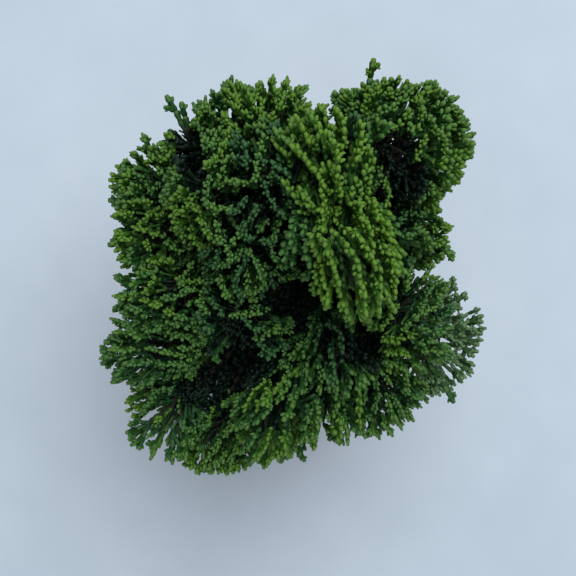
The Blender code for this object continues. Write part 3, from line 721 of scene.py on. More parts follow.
def stem_foot_on_trunk(hub):
    """Where a stem that has no bough starts, clear of the trunk's side or of its tip."""
    height = hub.z - STEM_DROP * hub.xy.length
    if height > TRUNK_TIP.z:
        tilt = (hub - TRUNK_TIP).normalized().xy.length
        return TRUNK_TIP + Vector((0, 0, SEAT_GAP + STEM_RADIUS * tilt))
    middle = trunk_ring(trunk_share(height)).centre
    way = (hub - middle).normalized()
    out = Vector((way.x, way.y, 0.0)).normalized()
    clear = trunk_face(height, out, STEM_RADIUS) + STEM_RADIUS * way.z + SEAT_GAP
    return middle + way * clear / way.xy.length


def lay_out_crown():
    """The spaces, the foot of each mass's stem, and the heights at which the boughs start."""
    spaces = {name: Space(mass) for name, mass in MASSES.items()}
    share_out(spaces)
    trunk = [trunk_ring(ring / TRUNK_RINGS) for ring in range(TRUNK_RINGS + 1)]
    trunk = [Ring(centre, radius * (1 + FLARE_LOBE_DEPTH)) for centre, radius in trunk]
    for name, space in spaces.items():
        space.bound_by_limb(trunk)
        if name in ON_TRUNK:
            space.foot = stem_foot_on_trunk(space.hub)
        else:
            back = min(space.room(-space.axis), space.mass.along * (1 - HUB_SHARE))
            space.foot = space.hub - space.axis * max(back - STEM_RADIUS, 0.0)
    feet = {name: (space.foot, space.axis)
            for name, space in spaces.items() if name not in ON_TRUNK}
    stems = [[Ring(spaces[name].foot, STEM_RADIUS), Ring(spaces[name].hub, STEM_RADIUS)]
             for name in ON_TRUNK]
    starts = place_boughs(feet, stems)
    for name, height in starts.items():
        bough = bough_rings(height, *feet[name])
        for space in spaces.values():
            space.bound_by_limb(bough)
    for name, point, inward in TRIMS:
        spaces[name].bound_by(Vector(point), Vector(inward), OVERLAP)
    return spaces, starts


# Bark: limbs with relief


def limb_mesh(name, rings, sides, relief, grain):
    """A tube through rings, each square to the limb, with closed ends and furrowed bark."""
    bm = bmesh.new()
    place = None
    for number, ring in enumerate(rings):
        ahead = rings[min(number + 1, len(rings) - 1)].centre
        behind = rings[max(number - 1, 0)].centre
        turn = (ahead - behind).to_track_quat("Z", "Y").to_matrix().to_4x4()
        new_place = Matrix.Translation(ring.centre) @ turn @ Matrix.Scale(ring.radius, 4)
        if place is None:
            bmesh.ops.create_circle(bm, cap_ends=True, segments=sides, radius=1.0, matrix=new_place)
            edges = bm.edges[:]
        else:
            grown = of_kind(bmesh.ops.extrude_edge_only(bm, edges=edges), BMEdge)
            edges = [edge for edge in grown if len(edge.link_faces) == 1]
            verts = list({vert for edge in edges for vert in edge.verts})
            bmesh.ops.transform(bm, matrix=new_place @ place.inverted(), verts=verts)
        place = new_place
    bmesh.ops.holes_fill(bm, edges=edges, sides=sides)
    bm.normal_update()
    bmesh.ops.recalc_face_normals(bm, faces=bm.faces)
    for vert in bm.verts:
        furrow = noise.noise(Vector((vert.co.x, vert.co.y, vert.co.z * FURROW_STRETCH)) * grain)
        plate = noise.noise(vert.co * grain * PLATE_GRAIN + PLATE_OFFSET)
        vert.co += vert.normal * relief * (furrow - abs(plate))
    return mesh_from(bm, name)


def build_trunk(bark):
    """The trunk with its buttress lobes and furrows, in place of the plain solid."""
    rings = [trunk_ring((number / BARK_RINGS) ** BARK_RING_CROWDING)
             for number in range(BARK_RINGS + 1)]
    mesh = limb_mesh("trunk_bark", rings, BARK_SIDES, BARK_RELIEF, BARK_GRAIN)
    for vert in mesh.vertices:
        middle = trunk_ring(min(max(trunk_share(vert.co.z), 0.0), 1.0)).centre
        spoke = Vector((vert.co.x - middle.x, vert.co.y - middle.y, 0.0))
        fade = math.exp(-max(vert.co.z - TRUNK_FOOT.z, 0.0) / FLARE_HEIGHT)
        turn = math.atan2(spoke.y, spoke.x)
        vert.co += spoke * (FLARE_LOBE_DEPTH * fade * math.cos(FLARE_LOBES * turn))
        vert.co.z = max(vert.co.z, TRUNK_FOOT.z - SEAT_GAP)
    add_piece("trunk_bark", mesh, [bark], ["trunk"])


def build_limbs(spaces, starts, bark):
    """Each bough and the stem that it turns into, up to the hub of its mass."""
    for name, space in spaces.items():
        stem_way = (space.hub - space.foot).normalized()
        stem = [Ring(space.foot.lerp(space.hub, share), STEM_RADIUS * (1 - STEM_TAPER * share))
                for share in STEM_SHARES]
        stem.append(Ring(space.hub + stem_way * STEM_RADIUS, STEM_RADIUS * STEM_END))
        if name in starts:
            rings = bough_rings(starts[name], space.foot, space.axis, LIMB_RINGS)
            out = (rings[1].centre - rings[0].centre).normalized()
            collar = [Ring(rings[0].centre - out * LIMB_SINK, rings[0].radius * LIMB_COLLAR)]
            limb = collar + rings + stem
            replaced = ["bough_" + name]
        else:
            sunk_foot = space.foot - stem_way * LIMB_SINK
            feet = [Ring(foot, STEM_RADIUS * girth)
                    for foot, girth in zip((sunk_foot, space.foot), STEM_FEET)]
            limb = feet + stem
            replaced = []
        mesh = limb_mesh("limb_" + name, limb, LIMB_SIDES, LIMB_RELIEF, LIMB_GRAIN)
        add_piece("limb_" + name, mesh, [bark], replaced)


# Shoots and twigs, each shape made once and copied many times


def add_finger(bm, place, length, width, thickness, swells):
    """A blunt four-sided finger along +X that swells at each pair of scale leaves."""
    upright = place @ Matrix.Rotation(math.pi / 2, 4, "Y")
    section = upright @ Matrix.Diagonal((thickness, width, 1, 1))
    made = bmesh.ops.create_circle(
        bm, cap_ends=True, segments=4, radius=FINGER_BASE / 2, matrix=section,
    )
    face = made["verts"][0].link_faces[0]
    before, size = 0.0, FINGER_BASE
    centre = Vector((0, 0, 0))
    for along, swell in swells:
        grown = bmesh.ops.extrude_face_region(bm, geom=[face])
        verts, face = of_kind(grown, BMVert), of_kind(grown, BMFace)[0]
        local = (place @ Matrix.Translation(centre)).inverted()
        bmesh.ops.scale(bm, vec=(1, swell / size, swell / size), verts=verts, space=local)
        step = Vector(((along - before) * length, 0, 0))
        bmesh.ops.translate(bm, vec=place.to_3x3() @ step, verts=verts)
        centre += step
        before, size = along, swell


def shape_from(bm, tip_from):
    """The shape's points, its four-sided faces, and which of these are its growing tip."""
    bmesh.ops.recalc_face_normals(bm, faces=bm.faces)
    bm.verts.index_update()
    points = np.array([vert.co for vert in bm.verts])
    faces = np.array([[vert.index for vert in face.verts] for face in bm.faces])
    tips = points[faces, 0].mean(axis=1) > tip_from
    bm.free()
    return Shape(points, faces, tips)


def shoot_shape(swells, florets):
    """A shoot of unit length but real width, with its florets to its sides."""
    bm = bmesh.new()
    add_finger(bm, Matrix.Identity(4), SHOOT_LENGTH, SHOOT_WIDTH, SHOOT_THICKNESS, swells)
    for share, bearing in florets:
        place = Matrix.Translation((share * SHOOT_LENGTH, 0, 0))
        place = place @ Matrix.Rotation(math.radians(bearing), 4, "X")
        place = place @ Matrix.Rotation(LOBE_TURN, 4, "Z")
        add_finger(bm, place, LOBE_LENGTH, LOBE_WIDTH, LOBE_WIDTH, LOBE_SWELLS)
    bmesh.ops.scale(bm, vec=(1 / SHOOT_LENGTH, 1, 1), verts=bm.verts)
    return shape_from(bm, TIP_FROM)


def twig_shape():
    """A four-sided twig of unit length and unit radius, a little thinner at its end."""
    bm = bmesh.new()
    bmesh.ops.create_cone(
        bm, cap_ends=True, segments=4, radius1=1.0, radius2=TWIG_TAPER, depth=1.0,
        matrix=Matrix.Rotation(math.pi / 2, 4, "Y") @ Matrix.Translation((0, 0, 0.5)),
    )
    return shape_from(bm, NO_TIP)


def joined_mesh(name, shapes, copies):
    """One mesh of many placed copies. A copy's slot is its first, and its tip's is the next."""
    points, faces, slots = [], [], []
    count = 0
    for number, shape in enumerate(shapes):
        chosen = [copy for copy in copies if copy.shape == number]
        if not chosen:
            continue
        places = np.array([copy.place for copy in chosen])
        placed = np.einsum("kij,vj->kvi", places[:, :, :3], shape.points) + places[:, None, :, 3]
        points.append(placed.reshape(-1, 3))
        offsets = count + len(shape.points) * np.arange(len(chosen))
        faces.append((shape.faces[None] + offsets[:, None, None]).reshape(-1, 4))
        first_slots = np.array([copy.slot for copy in chosen])
        slots.append((first_slots[:, None] + shape.tips[None]).reshape(-1))
        count += len(shape.points) * len(chosen)
    points, faces, slots = np.concatenate(points), np.concatenate(faces), np.concatenate(slots)
    mesh = bpy.data.meshes.new(name)
    mesh.vertices.add(len(points))
    mesh.loops.add(faces.size)
    mesh.polygons.add(len(faces))
    mesh.vertices.foreach_set("co", points.astype(np.float32).ravel())
    mesh.loops.foreach_set("vertex_index", faces.astype(np.int32).ravel())
    mesh.polygons.foreach_set("loop_start", np.arange(0, faces.size, 4, dtype=np.int32))
    mesh.polygons.foreach_set("material_index", slots.astype(np.int32))
    mesh.update(calc_edges=True)
    mesh.shade_smooth()
    return mesh


def placed_along(start, end, normal, roll, width):
    """Three rows of a matrix that lays a shape of unit length from one point to another."""
    along = end - start
    side = normal.cross(along).normalized()
    up = along.cross(side).normalized()
    turned_side = side * math.cos(roll) + up * math.sin(roll)
    turned_up = up * math.cos(roll) - side * math.sin(roll)
    columns = (along, turned_side * width, turned_up * width, start)
    return [[column[row] for column in columns] for row in range(3)]


# Foliage


def places_on(space, crown, depth):
    """Unit directions spread over a cap round the mass's axis, and how far each can reach.

    The next value is how deep each tip is sunk in the crown, and the last tells how much of it
    shows from outside or above.
    """
    numbers = np.arange(PLACES_TRIED) + 0.5
    polar = np.arccos(1 - numbers / PLACES_TRIED * (1 - math.cos(FAN_CAP)))[:, None]
    turn = (numbers * GOLDEN_TURN)[:, None]
    radial = np.cos(turn) * np.array(space.across) + np.sin(turn) * np.array(space.through)
    ways = np.cos(polar) * np.array(space.axis) + np.sin(polar) * radial
    reaches = crown.room(space, ways, space.hub)
    tips = np.array(space.hub) + ways * reaches[:, None]
    sunk = np.maximum(crown.depth(tips), 0.0)
    outward = tips - np.array(CROWN_CENTRE)
    outward /= np.linalg.norm(outward, axis=1)[:, None]
    facing = np.maximum((ways * outward).sum(axis=1), OPEN_ABOVE * ways[:, 2])
    openness = np.maximum(np.minimum(facing, 1 - sunk / OPEN_DEPTH), LEAST_OPEN)
    return ways, radial, reaches * depth, sunk, openness


def seen_in(spots, point):
    """Whether the camera sees a point in one of the spots."""
    scale = FOCAL_PIXELS / (CAMERA_PLACE.z - point.z)
    u = IMAGE_SIZE / 2 + point.x * scale
    v = IMAGE_SIZE / 2 - (point.y - CAMERA_PLACE.y) * scale
    return any(math.hypot(u - spot.u, v - spot.v) < spot.radius for spot in spots)


def hollow_floor(point):
    """The floor of the hollow that the camera sees a point in, and no limit outside them all."""
    return min((hollow.floor for hollow in HOLLOWS if seen_in((hollow,), point)), default=math.inf)


def fan_lie(name, space, way, tip, radial, rng):
    """A fan's flat side, square to the strand that it makes, and the way its shoots lean."""
    normal, twist = space.axis.cross(radial), TWIST
    lean = Vector((tip.x - space.hub.x, tip.y - space.hub.y, 0.0)) / space.mass.along * LEAN
    lean.z = UPWARD_LEAN
    if name in FOCUSES:
        focus = FOCUSES[name]
        x, y = tip.x - focus.x, tip.y - focus.y
        if focus.squeeze < 1:
            y += math.copysign(FOCUS_HALF_LINE, y)
        run = Vector((x * focus.squeeze - y * focus.slant, y, 0.0)).normalized()
        flat = run.cross(Vector((0, 0, 1)))
        flat -= way * flat.dot(way)
        if flat.length > LEAST_NORMAL:
            normal, twist = flat.normalized(), FOCUS_TWIST
            lean = run * FOCUS_LEAN * min(1.0, math.hypot(x, y) / FULL_LEAN_DISTANCE)
    return Matrix.Rotation(rng.uniform(-twist, twist), 3, way) @ normal, lean


def fans_of(name, space, crown, layer, rng):
    """Fans all over a mass, a strand's length and spacing apart, with more where it is open."""
    ways, radials, reaches, sunk, openness = places_on(space, crown, layer.depth)
    usual = SPACINGS.get(name, LOW_SPACING if name.startswith("low_") else 1.0)
    order = list(range(len(ways)))
    rng.shuffle(order)
    taken = np.zeros((0, 3))
    fans = []
    for number in order:
        reach = float(reaches[number])
        if reach < SHORTEST_FAN:
            continue
        way, radial = Vector(ways[number]), Vector(radials[number])
        tip = space.hub + way * reach
        floor = hollow_floor(tip)
        in_hollow = floor < math.inf
        if in_hollow:
            openness[number] = 1.0
            reach *= layer.hollow_depth if tip.z > floor else 1.0
            tip = space.hub + way * reach
        normal, lean = fan_lie(name, space, way, tip, radial, rng)
        side = normal.cross(way)
        spacing = layer.spacing * usual / math.sqrt(openness[number])
        stretch = FOCUSES[name].stretch if name in FOCUSES else 1.0
        apart = (taken - np.array(tip)) @ np.array([
            side / (STRAND_LENGTH * stretch * spacing),
            normal / (STRAND_SPACING * spacing),
            way / STRAND_LENGTH,
        ]).T
        if (np.square(apart).sum(axis=1) < 1).any():
            continue
        taken = np.vstack([taken, tip])
        radius = min(FAN_RADIUS * (1 + rng.uniform(-FAN_RADIUS_JITTER, FAN_RADIUS_JITTER)), reach)
        root = tip - way * radius
        fans.append(Fan(
            root, way, side, rng.uniform(*SPREADS) * stretch ** 0.5, rng.uniform(*CUPS), radius,
            sunk[number], lean, in_hollow,
        ))
    return fans


def fan_point(fan, angle, distance):
    """A point of a fan at an angle from its middle ray, with the fan a little cupped."""
    ray = fan.way * math.cos(angle) + fan.side * math.sin(angle)
    cup = fan.cup * (angle / fan.spread) ** 2
    return fan.root + (ray + fan.way.cross(fan.side) * cup).normalized() * distance


def fan_tips(space, crown, fan, rng):
    """Each shoot tip round the fan's edge, and the way that its shoot grows."""
    count = max(2, round(2 * fan.spread * fan.radius / TIP_PITCH))
    pitch = 2 * fan.spread / count
    angles = [-fan.spread + pitch * (tip + 0.5 + rng.uniform(-ANGLE_JITTER, ANGLE_JITTER))
              for tip in range(count)]
    rays = [tuple(fan.way * math.cos(angle) + fan.side * math.sin(angle)) for angle in angles]
    rooms = crown.room(space, rays, fan.root)
    tips = []
    for angle, ray, room in zip(angles, rays, rooms):
        distance = min(float(room), fan.radius) * rng.uniform(*TIP_SHARES)
        tip = fan_point(fan, angle, distance)
        hides_hollow = tip.z > hollow_floor(tip) and not fan.in_hollow
        clear = not any(seen_in(SKY_SPOTS, fan.root.lerp(tip, share)) for share in STRAND_SHARES)
        if distance > SHORTEST_FAN and clear and not hides_hollow:
            aside = fan.way.cross(fan.side) * rng.uniform(-SIDE_JITTER, SIDE_JITTER)
            tips.append((tip, (Vector(ray) + fan.lean + aside).normalized()))
    return tips


def grow_fan(fan, ends, tip_shapes, girth, tint, cord_tint, rng):
    """The shoots of one fan, from its tips in to its root, joining two by two."""
    shoots = []
    normal = fan.way.cross(fan.side)
    outermost = True
    while ends:
        joints = []
        for first in range(0, len(ends), 2):
            pair = ends[first:first + 2]
            length = LINK_LENGTH * (1 + rng.uniform(-LINK_JITTER, LINK_JITTER))
            joint = sum((tip - way * length for tip, way in pair), Vector()) / len(pair)
            joined = len(ends) > 1 and (joint - fan.root).dot(fan.way) > NEAREST_JOINT
            for tip, _ in pair:
                start, stop = joint if joined else fan.root, tip
                width = girth * (1 + rng.uniform(-SIZE_JITTER, SIZE_JITTER))
                roll = rng.uniform(-SHOOT_ROLL, SHOOT_ROLL)
                shape, slot = rng.choice(tip_shapes), tint
                if not outermost:
                    shape, slot = CORD, cord_tint
                    past = 1 + CORD_OVERLAP
                    start, stop = start.lerp(stop, -CORD_OVERLAP), start.lerp(stop, past)
                middle = start.lerp(stop, 0.5)
                # Shoots above a hollow's floor take the darkest tint: painted shade
                if middle.z > hollow_floor(middle):
                    slot = 2 * OLD_AND_SHADED_TINT
                shoots.append(Copy(shape, placed_along(start, stop, normal, roll, width), slot))
            if joined:
                joints.append((joint, (joint - fan.root).normalized()))
        ends = joints
        outermost = False
    return shoots


def grow_twigs(space, fans, rng):
    """Twigs out to the fans: a few leaders from the hub, and the rest forking from these."""
    twigs = []
    leaders = fans[:LEADERS]
    for number, fan in enumerate(fans):
        foot, radius = space.hub, LEADER_RADIUS
        if number >= len(leaders):
            leader = max(leaders, key=lambda other: other.way.dot(fan.way))
            foot = space.hub.lerp(leader.root, rng.uniform(*FORK_SHARES))
            radius = rng.uniform(*TWIG_RADII)
        if (fan.root - foot).length > TWIG_RADII[1]:
            normal = fan.way.cross(fan.side)
            twigs.append(Copy(0, placed_along(foot, fan.root, normal, 0.0, radius), 0))
    return twigs


def grow_sprig(space, sprig, tint, rng):
    """A chain of shoots out to a single tip, with side shoots spread flat as seen from above."""
    shoots = []
    up = Vector((0, 0, 1))
    tip = Vector(sprig.tip)
    foot = space.hub.lerp(tip, SPRIG_BARE_SHARE)
    along = tip - foot
    count = max(2, round(along.length / LINK_LENGTH))
    points = [foot.lerp(tip, step / count) for step in range(count + 1)]
    for point in points[1:-1]:
        point += up.cross(along).normalized() * rng.uniform(-SPRIG_BEND, SPRIG_BEND)
    for number, (start, stop) in enumerate(zip(points, points[1:])):
        shape = FORKED_SHOOTS[0] if number == count - 1 else CORD
        inner = start.lerp(stop, -CORD_OVERLAP)
        place = placed_along(inner, stop, up, rng.uniform(-SPRIG_ROLL, SPRIG_ROLL), SPRIG_GIRTH)
        shoots.append(Copy(shape, place, tint))
    for share, side in sprig.sides:
        start = space.hub.lerp(tip, share)
        way = Matrix.Rotation(side * SIDE_SHOOT_TURN, 3, "Z") @ along.normalized()
        stop = start + way * SHOOT_LENGTH * rng.uniform(*SIDE_SHOOT_SHARES)
        roll = rng.uniform(-SPRIG_ROLL, SPRIG_ROLL)
        place = placed_along(start, stop, up, roll, SIDE_SHOOT_GIRTH)
        shoots.append(Copy(FORKED_SHOOTS[2], place, tint))
    twig = Copy(0, placed_along(space.hub, foot, up, 0.0, TWIG_RADII[0]), 0)
    return shoots, twig


def grow_inner_shoots(spaces, starts, tint, rng):
    """Old shoots in the darkest tint, partly old growth and partly painted shade, all along the
    boughs and stems, which hide them inside the crown.
    """
    shoots = []
    for name, space in spaces.items():
        line = [space.foot.lerp(space.hub, share) for share in INNER_STEM_SHARES]
        if name in starts:
            bough = bough_rings(starts[name], space.foot, space.axis, LIMB_RINGS)
            line = [ring.centre for ring in bough[INNER_SHOOT_STEP::INNER_SHOOT_STEP]] + line
        for foot, ahead in zip(line, line[1:]):
            along = (ahead - foot).normalized()
            for turn in INNER_SHOOT_TURNS:
                turn += rng.uniform(-INNER_TURN_JITTER, INNER_TURN_JITTER)
                across = Matrix.Rotation(turn, 3, along) @ Vector((0, 0, 1))
                across -= along * across.dot(along)
                way = (across.normalized() + along * rng.uniform(*INNER_AHEAD)).normalized()
                stop = foot + way * rng.uniform(*INNER_SHOOT_LENGTHS)
                place = placed_along(foot, stop, along.cross(way), 0.0, INNER_SHOOT_GIRTH)
                shoots.append(Copy(CORD, place, tint))
    return shoots


def tint_of(choices, layer, fan, rng):
    """The place of a fan's tint in the list: darker the deeper it is in the crown, partly as older
    growth and partly as painted shade.
    """
    shade = layer.tint_shift + sum(fan.sunk > depth for depth in SHADE_DEPTHS)
    tint = min(list(TINTS).index(rng.choice(choices)) + shade, OLD_AND_SHADED_TINT)
    # A fan in a hollow takes the darkest tint: painted shade
    return OLD_AND_SHADED_TINT if fan.in_hollow else tint


def build_foliage(spaces, starts, materials, twig_material):
    """A piece of shoots for each mass, and one each for the inner shoots and for all the twigs."""
    shapes = [shoot_shape(swells, florets) for swells, florets in SHOOT_KINDS]
    crown = Crown(spaces.values())
    misty = list(TINTS).index("misty")
    twigs = []
    for number, (name, space) in enumerate(spaces.items()):
        rng = random.Random(SEED + number)
        slot = "bright" if name in BRIGHT_MASSES else "deep" if name in DEEP_MASSES else "fresh"
        choices = LEAF_TINTS[OWN_TINTS.get(name, slot)]
        girth = GIRTHS.get(name, 1.0)
        own_shapes = SLEEK_SHOOTS if name in GIRTHS else FORKED_SHOOTS
        shoots = []
        for layer in OPEN_LAYERS if name in OPEN_MASSES else LAYERS:
            fans = fans_of(name, space, crown, layer, rng)
            twigs += grow_twigs(space, fans, rng)
            for fan in fans:
                on_ridge = seen_in(RIDGE_SPOTS, fan.root + fan.way * fan.radius)
                # Crest fans off the sunlit ridge take darker tints as painted shade
                shaded_off_ridge = name in BRIGHT_MASSES and not on_ridge
                tint = cord_tint = misty
                if name not in OPEN_MASSES:
                    tint = tint_of(LEAF_TINTS["fresh"] if shaded_off_ridge else choices, layer, fan, rng)
                    # The cords inside a fan take the next darker tint, partly older stem and partly
                    # painted shade
                    cord_tint = min(tint + 1, OLD_AND_SHADED_TINT)
                tip_shapes = (CORD,) if layer == LAYERS[1] else own_shapes
                ends = fan_tips(space, crown, fan, rng)
                shoots += grow_fan(fan, ends, tip_shapes, girth, 2 * tint, 2 * cord_tint, rng)
        for sprig in SPRIGS:
            if sprig.mass == name:
                own_tint = "misty" if name in OPEN_MASSES else sprig.tint or choices[-1]
                new_shoots, twig = grow_sprig(space, sprig, 2 * list(TINTS).index(own_tint), rng)
                shoots += new_shoots
                twigs.append(twig)
        mesh = joined_mesh("shoots_" + name, shapes, shoots)
        add_piece("shoots_" + name, mesh, materials, [name])
    inner = grow_inner_shoots(spaces, starts, 2 * OLD_AND_SHADED_TINT, random.Random(SEED))
    add_piece("inner_shoots", joined_mesh("inner_shoots", shapes, inner), materials)
    add_piece("twigs", joined_mesh("twigs", [twig_shape()], twigs), [twig_material])


# Pot and potting mix


def turned(profile, segments):
    """A closed solid turned from a profile of (radius, height) that starts and ends on the axis."""
    bm = bmesh.new()
    verts = [bm.verts.new((radius, 0.0, height)) for radius, height in profile]
    edges = [bm.edges.new(pair) for pair in zip(verts, verts[1:])]
    bmesh.ops.spin(
        bm, geom=verts + edges, cent=(0, 0, 0), axis=(0, 0, 1),
        angle=math.tau, steps=segments, use_merge=True,
    )
    bmesh.ops.remove_doubles(bm, verts=bm.verts, dist=SAME_POINT)
    return bm


def pot_profile():
    """Up the outside from the middle of the underside, over the rim and down the inside."""
    inner_rim = POT_BAND_RADIUS - POT_WALL
    inner_foot = POT_FOOT_RADIUS - POT_WALL
    band_foot = POT_HEIGHT - POT_BAND_DEPTH
    return [
        (0.0, 0.0),
        (POT_FOOT_RADIUS - POT_EDGE, 0.0),
        (POT_FOOT_RADIUS, POT_EDGE),
        (POT_NECK_RADIUS, band_foot - POT_EDGE),
        (POT_BAND_RADIUS, band_foot + POT_EDGE / 2),
        (POT_RIM_RADIUS, POT_HEIGHT - 2 * POT_EDGE),
        (POT_RIM_RADIUS - POT_EDGE / 2, POT_HEIGHT - POT_EDGE / 2),
        (POT_RIM_RADIUS - POT_WALL / 2, POT_HEIGHT),
        (inner_rim + POT_EDGE, POT_HEIGHT - POT_EDGE / 2),
        (inner_rim, POT_HEIGHT - 2 * POT_EDGE),
        (inner_foot, POT_FLOOR + POT_EDGE),
        (inner_foot - POT_EDGE, POT_FLOOR),
        (0.0, POT_FLOOR),
    ]


def inner_radius(height):
    """The radius of the pot's inner wall at a height."""
    low, high = POT_FLOOR + POT_EDGE, POT_HEIGHT - 2 * POT_EDGE
    share = (height - low) / (high - low)
    inner_foot, inner_rim = POT_FOOT_RADIUS - POT_WALL, POT_BAND_RADIUS - POT_WALL
    return inner_foot + share * (inner_rim - inner_foot)


def build_pot(clay):
    """The turned pot with softened edges and its drain holes."""
    mesh = mesh_from(turned(pot_profile(), POT_SEGMENTS), "clay_pot")
    pot = add_piece("clay_pot", mesh, [clay], ["pot"])
    drains = bmesh.new()
    for hole in range(DRAIN_HOLES):
        at = direction(360 * hole / DRAIN_HOLES + DRAIN_BEARING, 0) * DRAIN_CIRCLE
        bmesh.ops.create_cone(
            drains, cap_ends=True, segments=DRAIN_SEGMENTS, radius1=DRAIN_RADIUS,
            radius2=DRAIN_RADIUS, depth=4 * POT_FLOOR, matrix=Matrix.Translation(at),
        )
    cutter = add_object("drain_cutter", mesh_from(drains, "drain_cutter"))
    cut = pot.modifiers.new("drains", "BOOLEAN")
    cut.operation = "DIFFERENCE"
    cut.object = cutter
    soften = pot.modifiers.new("soften", "BEVEL")
    soften.width = POT_ROUNDING
    soften.segments = POT_ROUNDING_STEPS
    soften.limit_method = "ANGLE"
    soften.angle_limit = POT_ROUNDED_ANGLE
    graph = bpy.context.evaluated_depsgraph_get()
    finished = bpy.data.meshes.new_from_object(pot.evaluated_get(graph))
    finished.shade_smooth()
    pot.modifiers.clear()
    pot.data = finished
    bpy.data.objects.remove(cutter, do_unlink=True)


def mix_height(x, y):
    """The mix's surface: low crumbs that flatten at the trunk."""
    coarse, fine = (noise.noise(Vector((x, y, 0)) * grain) for grain in CRUMB_GRAINS)
    away = min(1.0, max(0.0, (math.hypot(x, y) - BARE_ROUND_TRUNK) / CRUMB_FADE))
    share = LEAST_CRUMB_SHARE + (1 - LEAST_CRUMB_SHARE) * away
    return MIX_LEVEL + MIX_CRUMB * (coarse + FINE_CRUMB_SHARE * fine) * share


def build_mix(soil, chips, grit):
    """The filling, with bark chips and grit lying on it."""
    floor = POT_FLOOR + SEAT_GAP
    level_radius = inner_radius(MIX_LEVEL) - SEAT_GAP
    side = [(0.0, floor), (inner_radius(floor + POT_EDGE) - POT_EDGE, floor)]
    top = [(level_radius * (MIX_RINGS - ring) / MIX_RINGS, MIX_LEVEL)
           for ring in range(MIX_RINGS + 1)]
    bm = turned(side + top, MIX_SEGMENTS)
    for vert in bm.verts:
        if vert.co.z > floor + POT_EDGE and vert.co.xy.length < level_radius * LOOSE_SHARE:
            vert.co.z = mix_height(vert.co.x, vert.co.y)
    add_piece("mix_surface", mesh_from(bm, "mix_surface"), [soil], ["potting_mix"])
    rng = random.Random(SEED)
    for name, count, sizes, section, material in (
        ("bark_chips", CHIPS, CHIP_LENGTHS, CHIP_SECTION, chips),
        ("grit", GRITS, GRIT_SIZES, GRIT_SECTION, grit),
    ):
        copies = [scattered(rng, sizes, level_radius) for _ in range(count)]
        add_piece(name, joined_mesh(name, [chip_shape(*section)], copies), [material])


def chip_shape(width, thickness):
    """A flake of unit length with its ends and edges drawn in."""
    bm = bmesh.new()
    bmesh.ops.create_cube(bm, size=1.0, matrix=Matrix.Diagonal((CHIP_BODY, width, thickness, 1)))
    for face in [face for face in bm.faces if abs(face.normal.x) > CHIP_END_FACING]:
        verts = of_kind(bmesh.ops.extrude_face_region(bm, geom=[face]), BMVert)
        drawn = Vector(((1 - CHIP_BODY) / 2, CHIP_END_SKEW, 0)) * math.copysign(1, verts[0].co.x)
        bmesh.ops.scale(bm, vec=CHIP_END_SCALE, verts=verts)
        bmesh.ops.translate(bm, vec=drawn, verts=verts)
    return shape_from(bm, NO_TIP)


def scattered(rng, sizes, level_radius):
    """A place for a chip, lying nearly flat anywhere on the mix round the trunk."""
    bearing = rng.uniform(0, math.tau)
    spread = rng.uniform((BARE_ROUND_TRUNK / level_radius) ** 2, SCATTER_EDGE)
    distance = level_radius * math.sqrt(spread)
    x, y = distance * math.cos(bearing), distance * math.sin(bearing)
    size = rng.uniform(*sizes)
    turn = Matrix.Rotation(rng.uniform(0, math.tau), 3, "Z")
    for axis in "YX":
        turn = turn @ Matrix.Rotation(rng.uniform(-CHIP_TILT, CHIP_TILT), 3, axis)
    turn = turn * size
    at = (x, y, mix_height(x, y) + CHIP_LIFT * size)
    return Copy(0, [[*turn[row], at[row]] for row in range(3)], 0)


# Materials


def add_node(tree, kind, values=None, **settings):
    """A shader node with its settings, and then with values on its inputs."""
    node = tree.nodes.new("ShaderNode" + kind)
    for name, value in settings.items():
        setattr(node, name, value)
    for name, value in (values or {}).items():
        node.inputs[name].default_value = value
    return node


def link(tree, *pairs):
    """Links, each given as a node and its output, then a node and its input."""
    for source, output, target, socket in pairs:
        tree.links.new(source.outputs[output], target.inputs[socket])


def plain_material(name, colour, roughness):
    material = bpy.data.materials.new(name)
    material.use_nodes = True
    shader = material.node_tree.nodes["Principled BSDF"]
    shader.inputs["Base Color"].default_value = (*colour, 1.0)
    shader.inputs["Roughness"].default_value = roughness
    return material


def leaf_materials():
    """Two materials for each tint: the shoot's, then its growing tip's, lighter partly as new
    growth and partly as painted highlight.
    """
    materials = []
    for name, colours in TINTS.items():
        for part, colour in zip(("shoot", "tip"), colours):
            material = plain_material(name + "_" + part, colour, LEAF_ROUGHNESS)
            shader = material.node_tree.nodes["Principled BSDF"]
            shader.inputs["Specular IOR Level"].default_value = LEAF_SPECULAR
            materials.append(material)
    return materials


def mottle_group():
    """A node group: two colours mixed by noise at two scales, and a height for the relief."""
    group = bpy.data.node_groups.new("mottle", "ShaderNodeTree")
    for name, way, kind in (
        ("Vector", "INPUT", "Vector"), ("Scale", "INPUT", "Float"),
        ("Fine Scale", "INPUT", "Float"), ("Dark", "INPUT", "Color"), ("Light", "INPUT", "Color"),
        ("Color", "OUTPUT", "Color"), ("Height", "OUTPUT", "Float"),
    ):
        group.interface.new_socket(name=name, in_out=way, socket_type="NodeSocket" + kind)
    given = group.nodes.new("NodeGroupInput")
    result = group.nodes.new("NodeGroupOutput")
    broad = add_node(group, "TexNoise", {"Detail": BROAD_DETAIL})
    fine = add_node(group, "TexNoise", {"Detail": FINE_DETAIL})
    blend = add_node(group, "Math", {1: FINE_MOTTLE_SHARE}, operation="MULTIPLY_ADD")
    spread = add_node(group, "MapRange", MOTTLE_RANGE)
    mix = add_node(group, "Mix", data_type="RGBA")
    link(
        group,
        (given, "Vector", broad, "Vector"),
        (given, "Vector", fine, "Vector"),
        (given, "Scale", broad, "Scale"),
        (given, "Fine Scale", fine, "Scale"),
        (fine, "Fac", blend, 0),
        (broad, "Fac", blend, 2),
        (blend, 0, spread, "Value"),
        (spread, "Result", mix, "Factor"),
        (given, "Dark", mix, "A"),
        (given, "Light", mix, "B"),
        (mix, "Result", result, "Color"),
        (blend, 0, result, "Height"),
    )
    return group


